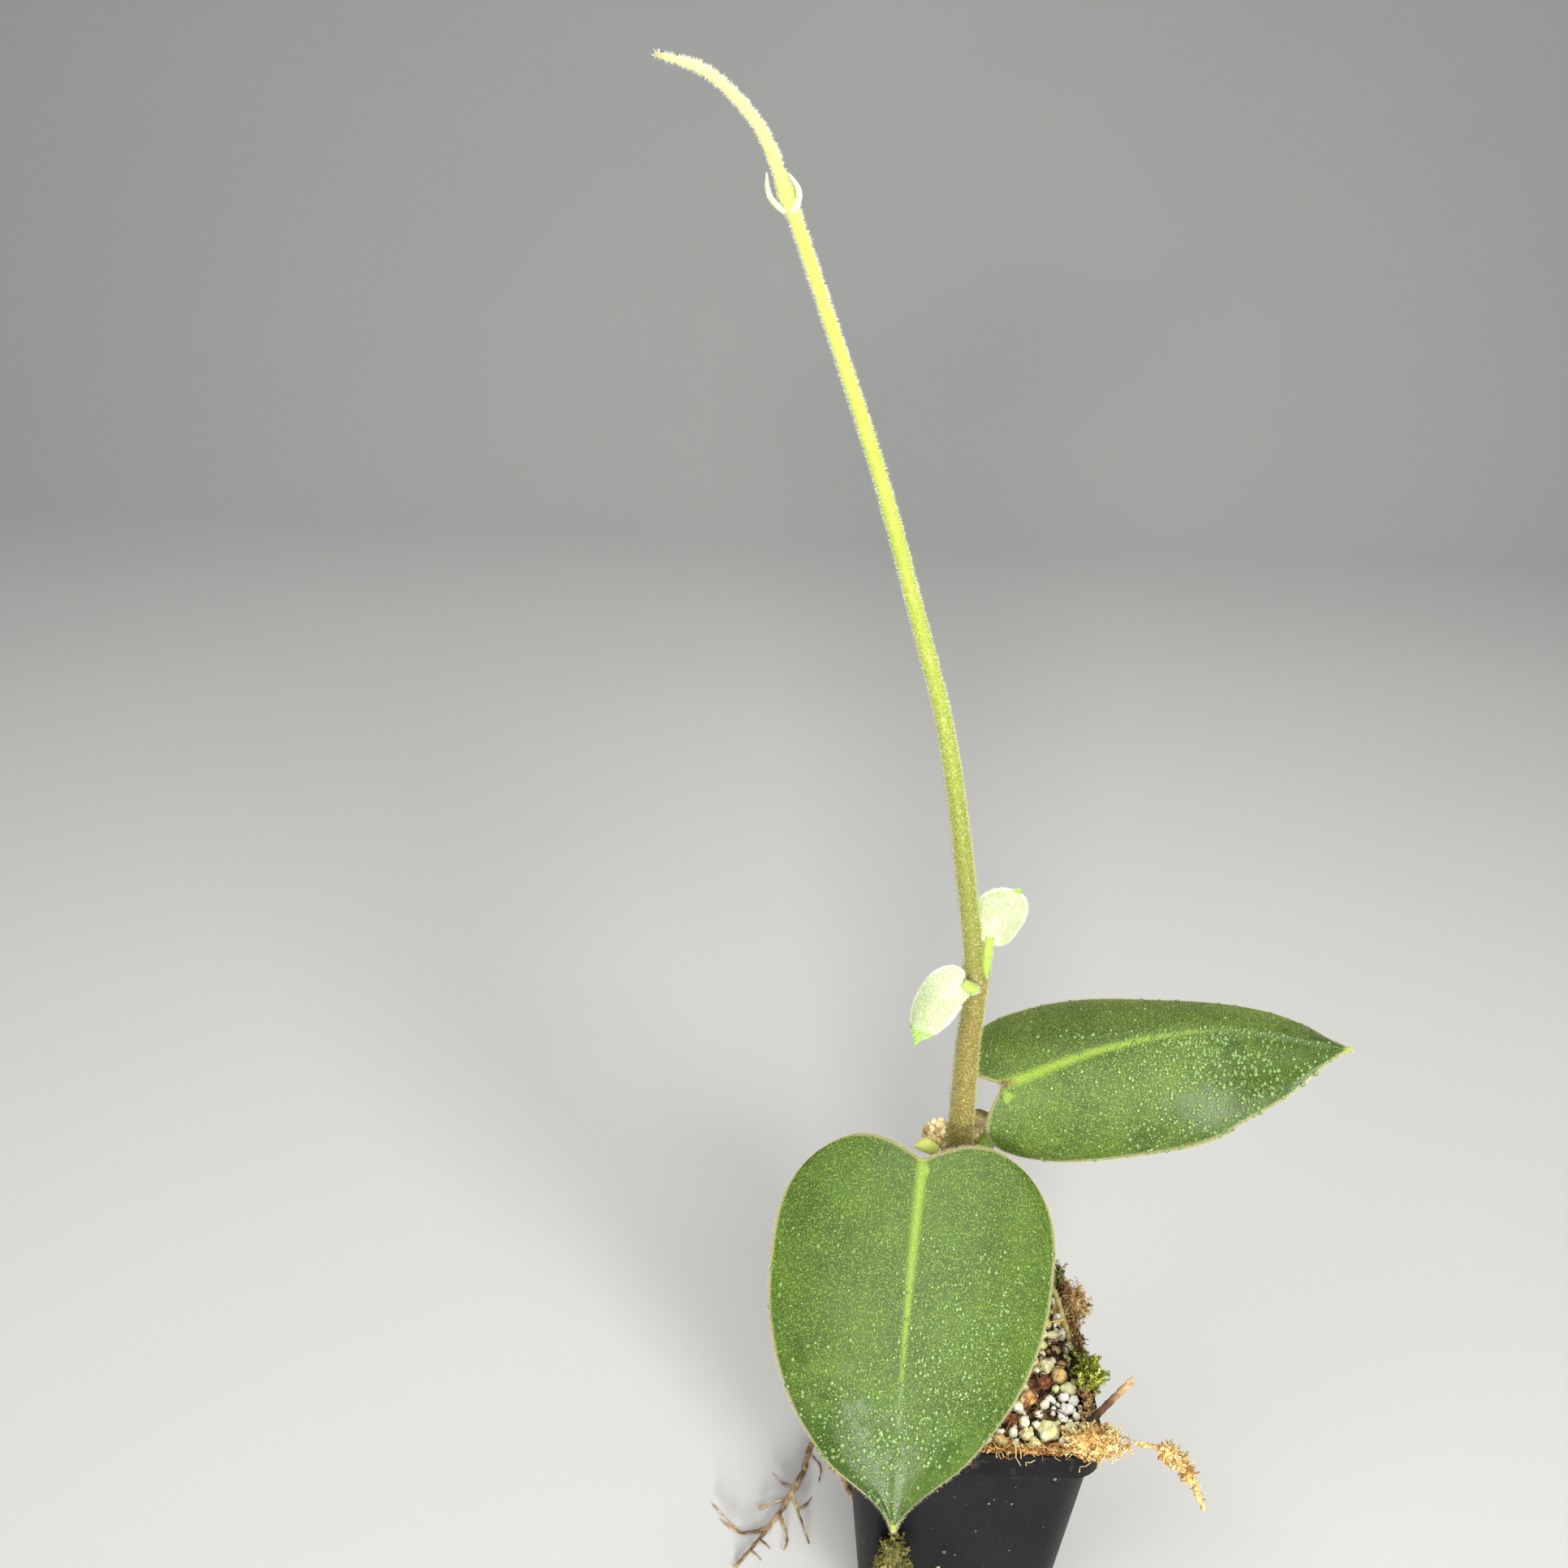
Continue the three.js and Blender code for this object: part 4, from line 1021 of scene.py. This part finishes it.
def felt_with_hair_glint_group():
    """The felty look of hairy green skin: a fine pale fleck over a colour, which stands for the pale hair
    tips and a painted glint on them, and its relief.
    """
    inputs = [
        ("Skin", "Color", (0.2, 0.3, 0.05, 1)),
        ("Hair Glint Fleck", "Color", (0.7, 0.75, 0.5, 1)),
        ("Hair Glint Fleck Share", "Float", 0.3),
        ("Scale", "Float", 2200.0),
    ]
    group, given, result = new_group("felt_with_hair_glint", inputs, [("Colour", "Color"), ("Relief", "Float")])
    speck = cloudy(group, object_place(group), given["Scale"], 3.0)
    # The pale fleck is the hairs' own colour and also a painted highlight: it paints the glint on the hair
    # tips.
    share = maths(group, "MULTIPLY", ranged(group, speck, 0.52, 0.66), given["Hair Glint Fleck Share"])
    group.links.new(blend(group, share, given["Skin"], given["Hair Glint Fleck"]), result["Colour"])
    group.links.new(speck, result["Relief"])
    return group


felt_with_hair_glint = felt_with_hair_glint_group()


BARK_BY_HEIGHT = [
    (0.0, (0.15, 0.11, 0.010)),
    (0.15, (0.17, 0.125, 0.012)),
    (0.22, (0.17, 0.17, 0.014)),
    (0.36, (0.20, 0.245, 0.015)),
    (0.60, (0.34, 0.43, 0.016)),
    (0.86, (0.56, 0.65, 0.050)),
    (1.0, (0.76, 0.79, 0.26)),
]


def shoot_finish():
    """Green bark that changes with height, with a brown ring at the first node, a dry brown tip, and fine
    pale flecks for its hairs with a painted glint on them.
    """
    material, tree, shader = new_finish("green_bark", Roughness=0.55, Sheen_Weight=0.25)
    place = object_place(tree)
    split = node(tree, "SeparateXYZ", {"Vector": place}).outputs
    height = split["Z"]
    shift = ranged(tree, cloudy(tree, place, 160.0, 4.0), 0.0, 1.0, -0.012, 0.012)
    share = ranged(tree, maths(tree, "ADD", height, shift), 0.126, 0.367)
    ring_foot, ring_head = ranged(tree, height, 0.1700, 0.1716), ranged(tree, height, 0.1748, 0.1728)
    ring = maths(tree, "MULTIPLY", ring_foot, ring_head)
    browned = maths(tree, "MAXIMUM", ring, ranged(tree, split["X"], -0.0780, -0.0798))
    faint = maths(tree, "MULTIPLY", browned, 0.65)
    ringed = blend(tree, faint, ramp_of(tree, share, BARK_BY_HEIGHT), (0.20, 0.10, 0.03))
    # Pale flecks: the hairs' own colour and a painted glint on their tips.
    given = {"Skin": ringed, "Hair Glint Fleck": (0.86, 0.84, 0.36, 1), "Hair Glint Fleck Share": 0.30, "Scale": 1900.0}
    felt = node(tree, "Group", given, node_tree=felt_with_hair_glint).outputs
    join_skin(tree, shader, felt["Colour"], felt["Relief"], 0.6, 0.0002)
    return material


seat(shoot, shoot_finish(), "green_stem", "new_shoot")
SHOOT_HAIR_TONES = [(0.56, 0.50, 0.17), (0.62, 0.64, 0.22), (0.76, 0.82, 0.38), (0.90, 0.92, 0.70)]
shoot_hair = earthen("shoot_hair", SHOOT_HAIR_TONES, ("Z", 0.126, 0.34), (60.0, 0.3), (3000.0, 0.00002), 0.6)
down("shoot_down", shoot, 26000, 0.75, 0.06, 0.3, 81, shoot_hair, "green_stem")

# ---- Leaves ----
# Thick heart-shaped blades, each grown with its stalk in one piece: folded up a little along the midrib,
# curled down at the margins, felted all over and wetted by a mist. Small drops stand on the upper faces.
LEAF_ROWS = 72
LEAF_COLUMNS = 44


def leaf_outline(u, widest_at, pinch):
    near = 1 - 0.24 * (1 - np.minimum(u / widest_at, 1)) ** 3
    t = np.clip((u - widest_at) / (1 - widest_at), 0, 1)
    late = np.clip((t - 0.75) / 0.25, 0, 1)
    far = (1 - t**2.4) * (1 - pinch * late * late * (3 - 2 * late))
    return np.where(u < widest_at, near, far)


def get_attribute(mesh, name):
    values = np.empty(len(mesh.vertices), np.float32)
    mesh.attributes[name].data.foreach_get("value", values)
    return values


def blade(name, midrib, side, tip_side, half_width, thick, widest_at, pinch, lobe, fold, curl, rib,
          ripple, seed, skew=0.0, rows=LEAF_ROWS, columns=LEAF_COLUMNS):
    """One leaf blade: a grid laid along its midrib and given a body. Sizes are in millimetres. Each corner
    keeps its shares along and across the leaf, its distances from midrib and margin, and its face."""
    unselect()
    bpy.ops.mesh.primitive_grid_add(x_subdivisions=columns, y_subdivisions=rows, size=2)
    piece = bpy.context.object
    piece.name = name
    flat = corners_of(piece)
    u = 1 - (1 - (flat[:, 1] + 1) / 2) ** 1.35
    v = np.sin(flat[:, 0] * math.pi / 2)
    out = np.abs(v)
    spine, run = smooth_route(np.array(midrib), 240)
    shares = np.linspace(0, 1, 240)
    centre = np.stack([np.interp(u, shares, spine[:, k]) for k in range(3)], axis=1)
    run = unit(np.stack([np.interp(u, shares, run[:, k]) for k in range(3)], axis=1))
    across = np.array(side, float) + (np.array(tip_side, float) - np.array(side, float)) * u[:, None]
    across = unit(across - run * (across * run).sum(1)[:, None])
    up = np.cross(run, across)
    half = np.maximum(0.25, half_width * leaf_outline(u, widest_at, pinch))
    back = lobe * (1 - u) ** 3 * np.sin(math.pi * out)
    shoulder = 0.07 * half_width * out**7 * (1 - u) ** 7
    drop = half * (fold * out**1.3 + curl * out**3)
    broad = np.array([noise.noise(Vector((3.2 * a, 1.7 * b, seed))) for a, b in zip(u, v)])
    fine = np.array([noise.noise(Vector((9 * a, 5 * b, seed + 5))) for a, b in zip(u, v)])
    lift = ripple * (broad + 0.45 * fine) * (0.3 + 0.7 * out)
    middle = centre + across * (half * v * (1 + skew * v) * (1 - 0.5 * fold * fold * out))[:, None]
    middle += run * (shoulder - back)[:, None] + up * (lift - drop)[:, None]
    piece.data.vertices.foreach_set("co", (middle * MM).ravel())
    share = (0.3 + 0.7 * np.sqrt(1 - 0.92 * v * v)) * (1 - 0.45 * u)
    body = piece.vertex_groups.new(name="body")
    for i, weight in enumerate(share):
        body.add([i], float(weight), "REPLACE")
    apply_modifier(piece, "SOLIDIFY", thickness=thick * MM, offset=0, vertex_group="body")
    piece.vertex_groups.clear()
    both = corners_of(piece)
    centre2, up2 = np.tile(middle * MM, (2, 1)), np.tile(up, (2, 1))
    u2, v2, half2 = np.tile(u, 2), np.tile(v, 2), np.tile(half, 2)
    above = ((both - centre2) * up2).sum(1) > 0
    off_rib = np.abs(v2) * half2
    groove = 0.38 * thick * np.exp(-((off_rib / 0.9) ** 2)) * np.clip((u2 - 0.15) / 0.5, 0, 1)
    groove *= 1 - u2 * 0.6
    keel = rib * np.exp(-(off_rib**2) / 2.2) * (1 - u2)
    both -= up2 * np.where(above, groove, keel)[:, None] * MM
    piece.data.vertices.foreach_set("co", both.ravel())
    length = np.linalg.norm(np.diff(spine, axis=0), axis=1).sum()
    off_edge = np.minimum(half2 * (1 - np.abs(v2)), (u2 + 0.004) * length)
    kept = {"along": u2, "off_rib": off_rib, "off_edge": off_edge, "upper": above, "side": v2}
    for key, values in kept.items():
        made = piece.data.attributes.new(key, "FLOAT", "POINT")
        made.data.foreach_set("value", np.asarray(values, np.float32))
    face_outward()
    apply_modifier(piece, "SUBSURF", levels=1, render_levels=1)
    return piece


def leaf_finish(name, greens, hair_glint_fleck_share, rib_width, wet_from=3.0, wet_side=0.0, roughness=0.55,
                tip_from=0.975, scarred=0.0):
    """Leaf skin: cloudy green, a midrib that narrows and fades, a pale margin, a paler underside, a bright
    point, a wet stretch where the felt lies flat, and fine pale flecks for the hair tips with a painted glint
    on them, fewer where it is wet."""
    material, tree, shader = new_finish(name, Sheen_Weight=0.03, Specular_IOR_Level=0.40, Sheen_Roughness=0.5)
    place = object_place(tree)
    along, off_rib, off_edge, upper, side = (
        node(tree, "Attribute", attribute_name=key).outputs["Fac"]
        for key in ("along", "off_rib", "off_edge", "upper", "side")
    )

    def range_of(value, low, high, to_low=0.0, to_high=1.0):
        return ranged(tree, value, low, high, to_low, to_high, "SMOOTHSTEP")

    def times(first, second):
        return maths(tree, "MULTIPLY", first, second)

    cloud = cloudy(tree, place, 60.0, 9.0, 0.68)
    green = blend(tree, range_of(cloud, 0.30, 0.74), greens["deep"], greens["fresh"])
    wet_cloud = cloudy(tree, place, 130.0, 5.0, 0.7)
    drift = maths(tree, "ADD", range_of(wet_cloud, 0.3, 0.7, -0.16, 0.16), times(side, wet_side))
    wet = times(range_of(maths(tree, "ADD", along, drift), wet_from, wet_from + 0.22), upper)
    green = blend(tree, times(wet, 0.3), green, tuple(0.6 * c for c in greens["deep"]))
    rib_half = range_of(along, 0.0, 0.85, rib_width, 0.28 * rib_width)
    off_share = range_of(maths(tree, "DIVIDE", off_rib, rib_half), 0.0, 1.7)
    near_rib = maths(tree, "SUBTRACT", 1.0, off_share)
    coloured = blend(tree, times(near_rib, range_of(along, 0.40, 0.80, 0.85, 0.10)), green, greens["rib"])
    coloured = blend(tree, times(range_of(off_edge, 1.1, 0.15), 0.7), coloured, greens["rim"])
    scar = times(range_of(along, 0.05, 0.01), range_of(off_rib, 1.3, 0.4))
    coloured = blend(tree, times(scar, scarred), coloured, (0.09, 0.04, 0.015))
    coloured = blend(tree, upper, greens["below"], coloured)
    coloured = blend(tree, range_of(along, tip_from, tip_from + 0.02), coloured, greens["tip"])
    # Painted glint of the hair tips, laid as pale flecks; fewer where the wet felt lies flat.
    hair_glint_flecked = times(range_of(wet, 0.0, 1.0, 1.0, 0.35), hair_glint_fleck_share)
    given = {"Skin": coloured, "Hair Glint Fleck": (*greens["hair_glint_fleck"], 1), "Scale": 2600.0, "Hair Glint Fleck Share": hair_glint_flecked}
    felt = node(tree, "Group", given, node_tree=felt_with_hair_glint).outputs
    join_skin(tree, shader, felt["Colour"], felt["Relief"], 0.6, 0.00018)
    tree.links.new(range_of(wet, 0.1, 1.0, roughness, 0.22), shader.inputs["Roughness"])
    return material


def coat_density(skin, face=1.0, under=0.5, flat_from=2.0):
    """Hairs stand thinner under the blade and where it is wet, and half as thick on the stalk."""
    along, off_edge, upper = (get_attribute(skin.data, key) for key in ("along", "off_edge", "upper"))
    dense = np.where(upper > 0.5, face, under) * np.where((along > flat_from) & (upper > 0.5), 0.4, 1.0)
    return np.where((off_edge == 0) & (along == 0), 0.5, dense)


def fringe_density(skin):
    """Only the very margin of the blade."""
    off_edge = get_attribute(skin.data, "off_edge")
    return ((off_edge > 0) & (off_edge < 0.45)).astype(float)


standing_water, _, _ = new_finish(
    "standing_water", Base_Color=(0.10, 0.19, 0.025, 1), Roughness=0.13, Coat_Weight=0.35,
    Coat_Roughness=0.10, Specular_IOR_Level=0.95,
)


def dew(name, skin, count, weight, seed):
    """Small flattened drops standing on the upper face, where weight(along, side) puts them."""
    rng = np.random.default_rng(seed)
    along, side, upper = (get_attribute(skin.data, key) for key in ("along", "side", "upper"))
    density = weight(along, side) * (upper > 0.9) * (along < 0.97) * (along > 0.02)
    spots, outs = skin_spots(skin, count, rng, density)
    sizes = rng.gamma(2.4, 0.12, count).clip(0.14, 0.7) * MM
    frames = frames_along(outs, sizes * 0.55, sizes, rng)
    drops = crumb_models(3, 40, 0.16, 7, 5)
    spread(name, drops, spots, frames, rng.random(count), standing_water, "grown_leaf")


grown = dict(thick=1.5, rib=0.9)
LEAF_GREENS = {
    "deep": (0.023, 0.060, 0.0015),
    "fresh": (0.050, 0.112, 0.003),
    "rib": (0.20, 0.31, 0.025),
    "rim": (0.42, 0.40, 0.20),
    "below": (0.18, 0.29, 0.04),
    "tip": (0.42, 0.62, 0.03),
    # Fleck tone: the pale hair tips' colour with a painted glint on them.
    "hair_glint_fleck": (0.42, 0.54, 0.06),
}
RIGHT_GREENS = {**LEAF_GREENS, "fresh": (0.060, 0.118, 0.006)}
LEAF_HAIR_TONES = [(0.34, 0.42, 0.04), (0.60, 0.64, 0.10), (0.92, 0.92, 0.32)]
FRINGE_TONES = [(0.45, 0.36, 0.20), (0.66, 0.56, 0.36), (0.84, 0.78, 0.58)]
leaf_hair = hair_finish("leaf_hair", LEAF_HAIR_TONES)
fringe_hair = hair_finish("fringe_hair", FRINGE_TONES)
heart = blade(
    "heart_blade",
    [(-16.4, -14, 133.3), (-18.5, -27, 110), (-19.9, -39.5, 82), (-20.1, -50, 55.8)],
    (1, 0.04, 0.075), (1, 0.04, 0),
    33.6, widest_at=0.31, pinch=0.58, lobe=4.6, fold=0.1, curl=0.14, ripple=0.8, seed=2.0, skew=0.035,
    **grown,
)
heart_stalk = limb(
    "stalk", [(-8.6, -2.4, NODE_Z - 1), (-11.8, -8.5, NODE_Z + 3), (-16.6, -15.2, 131.3)],
    [(0, 2.3), (0.3, 2), (1, 1.9)], 40, 16,
)
heart = joined("heart_leaf_grown", [heart, heart_stalk])
heart_skin = leaf_finish("heart_leaf_skin", LEAF_GREENS, 0.36, 1.15, 0.62, -0.10)
seat(heart, heart_skin, "grown_leaf", "heart_leaf")
heart_coat = coat_density(heart, flat_from=0.64)
down("heart_leaf_down", heart, 34000, 0.34, 0.03, 0.45, 82, leaf_hair, "grown_leaf", heart_coat)
heart_margin = fringe_density(heart)
down("heart_leaf_fringe", heart, 9000, 0.75, 0.03, 0.5, 86, fringe_hair, "grown_leaf", heart_margin)


def heart_wet(along, side):
    left = np.exp(-(((along - 0.76) / 0.13) ** 2) - ((side + 0.25) / 0.5) ** 2)
    right_side = np.exp(-(((along - 0.56) / 0.20) ** 2) - ((side - 0.45) / 0.35) ** 2)
    return left + 0.8 * right_side + 0.12 * (along > 0.2)


dew("heart_leaf_dew", heart, 1900, heart_wet, 92)

right = blade(
    "right_blade",
    [(3, 0, 145.5), (28.9, 6.5, 153), (55.6, 8.6, 157.6), (81.4, -5.1, 162)],
    (0, 0.7, 0.72), (0, 0.98, 0.17),
    25, widest_at=0.4, pinch=0.35, lobe=7.5, fold=0.55, curl=0.18, ripple=0.7, seed=8.0, **grown,
)
right_stalk = limb(
    "stalk", [(-1.9, -1.5, NODE_Z - 1), (1.2, -1.4, NODE_Z + 7), (4.2, -0.4, 144.4)],
    [(0, 2.3), (0.3, 2), (1, 1.9)], 40, 16,
)
right = joined("right_leaf_grown", [right, right_stalk])
right_skin = leaf_finish("right_leaf_skin", RIGHT_GREENS, 0.42, 1.1, 0.66, -0.42, scarred=1.0)
seat(right, right_skin, "grown_leaf", "right_leaf")
right_coat = coat_density(right, flat_from=0.8)
down("right_leaf_down", right, 30000, 0.34, 0.03, 0.45, 83, leaf_hair, "grown_leaf", right_coat)
right_margin = fringe_density(right)
down("right_leaf_fringe", right, 9000, 0.75, 0.03, 0.5, 87, fringe_hair, "grown_leaf", right_margin)


def right_wet(along, side):
    return np.exp(-(((along - 0.62) / 0.27) ** 2)) * (side < 0.05) + 0.06


dew("right_leaf_dew", right, 1700, right_wet, 93)

# ---- Young leaves, buds and bract ----
# A pair of half-grown leaves at the shoot's first node, so densely haired that they look white, a pair
# of folded leaf buds at the second node, and one small green bract left at the old node.
YOUNG_GREENS = {
    "deep": (0.34, 0.46, 0.16),
    "fresh": (0.62, 0.70, 0.42),
    "rib": (0.70, 0.78, 0.36),
    "rim": (0.92, 0.92, 0.78),
    "below": (0.66, 0.76, 0.36),
    "tip": (0.22, 0.46, 0.02),
    # Fleck tone: the pale hair tips' colour with a painted glint on them.
    "hair_glint_fleck": (0.95, 0.95, 0.88),
}
BRACT_GREENS = {
    "deep": (0.56, 0.62, 0.08),
    "fresh": (0.80, 0.84, 0.20),
    "rib": (0.7, 0.74, 0.2),
    "rim": (0.6, 0.6, 0.2),
    "below": (0.5, 0.56, 0.1),
    "tip": (0.45, 0.4, 0.12),
    # Fleck tone: the pale hair tips' colour with a painted glint on them.
    "hair_glint_fleck": (0.7, 0.72, 0.4),
}
YOUNG_HAIR_TONES = [(0.42, 0.50, 0.24), (0.76, 0.79, 0.62), (0.93, 0.93, 0.88)]
young_hair = hair_finish("young_hair", YOUNG_HAIR_TONES)
LIME_TONES = [(0.20, 0.36, 0.015), (0.34, 0.54, 0.03), (0.50, 0.68, 0.08)]
lime_stalk = earthen("lime_stalk", LIME_TONES, 0.5, (300.0, 0.6), (2600.0, 0.0001), 0.5)
small = dict(thick=0.9, rib=0.3, ripple=0.25, rows=40, columns=24)
young_left = blade(
    "blade",
    [(-9.0, -2.8, 175.0), (-13.0, -4.4, 173.2), (-16.9, -5.2, 167.0), (-19.4, -4, 158.0)],
    (0.2, -0.35, -0.9), (0.95, -0.35, 0.1),
    5.3, widest_at=0.34, lobe=1.2, fold=0.25, curl=0.1, seed=14.0, pinch=0.75, **small,
)
young_left_stalk = limb(
    "stalk",
    [(-6.1, -1.5, 172.3), (-7.2, -3.8, 173.6), (-9.3, -3.4, 174.8)],
    [(0, 1.3), (0.6, 1.2), (1, 1.0)], 24, 12,
)
young_right = blade(
    "blade",
    [(-4, 0.2, 184), (-2.4, 0.4, 188.4), (-0.2, 0.4, 193), (2, 0, 197.7)],
    (-0.85, 0.05, 0.5), (-0.85, 0.05, 0.5),
    6.2, widest_at=0.4, lobe=0.6, fold=0.3, curl=0.1, seed=17.0, pinch=0.6, **small,
)
young_right_stalk = limb(
    "stalk", [(-4.2, 0.6, 174.6), (-3.9, 0.5, 179), (-3.7, 0.2, 185.2)], [(0, 1.4), (1, 1.0)], 24, 12
)
for name, node_name, green, stalk, tip_from, seed in (
    ("young_leaf_hanging", "young_leaf_left", young_left, young_left_stalk, 0.77, 84),
    ("young_leaf_upright", "young_leaf_right", young_right, young_right_stalk, 0.9, 85),
):
    green.data.materials.append(
        leaf_finish(name + "_skin", YOUNG_GREENS, 0.7, 0.6, roughness=0.7, tip_from=tip_from, scarred=0.8)
    )
    stalk.data.materials.append(lime_stalk)
    leaf = joined(name, [green, stalk])
    seat(leaf, None, "young_leaf", node_name)
    before_tip = np.where(get_attribute(leaf.data, "along") > tip_from, 0.12, 1.0)
    coat = coat_density(leaf, under=1.0) * before_tip
    down(name + "_down", leaf, 16000, 0.5, 0.034, 0.5, seed, young_hair, "young_leaf", coat)

bud_skin = leaf_finish("bud_skin", YOUNG_GREENS, 0.7, 0.6, roughness=0.7, tip_from=0.95)
bract_skin = leaf_finish("bract_skin", BRACT_GREENS, 0.5, 0.4, roughness=0.6)
BUD_MIDRIBS = [
    [(-55.7, 0.1, 339.2), (-58.4, -0.3, 341.9), (-59.7, -0.6, 346.2)],
    [(-54.9, -0.2, 339.3), (-53.9, -0.8, 342.4), (-55.6, -1.2, 346.2)],
]
BRACT_MIDRIB = [(-11.2, -2.6, NODE_Z + 2.4), (-13.8, -3.4, NODE_Z + 4.4), (-17.6, -4, NODE_Z + 4.0)]
bud_looks = (bud_skin, young_hair, "young_leaf")
bract_looks = (bract_skin, shoot_hair, "green_stem")
# Name, CAD node, midrib, side, half width, looks.
BUD_FORMS = [
    ("bud_scale_left", "bud_leaf_left", BUD_MIDRIBS[0], (0.2, -1, 0.2), 1.1, bud_looks),
    ("bud_scale_right", "bud_leaf_right", BUD_MIDRIBS[1], (-0.3, 1, 0.2), 1.2, bud_looks),
    ("bract", "node_bract", BRACT_MIDRIB, (0.1, -0.75, -0.6), 2.2, bract_looks),
]
folded = dict(thick=0.5, widest_at=0.45, pinch=0, lobe=0, fold=0.5, curl=0.2, rib=0, ripple=0.05)
for k, (name, node_name, midrib, side, half_width, (finish, hairs, slot)) in enumerate(BUD_FORMS):
    bud = blade("blade", midrib, side, side, half_width, seed=20.0 + k, rows=20, columns=12, **folded)
    bud = joined(name, [bud])
    seat(bud, finish, slot, node_name)
    down(name + "_down", bud, 1100, 0.32, 0.03, 0.5, 90 + k, hairs, slot)
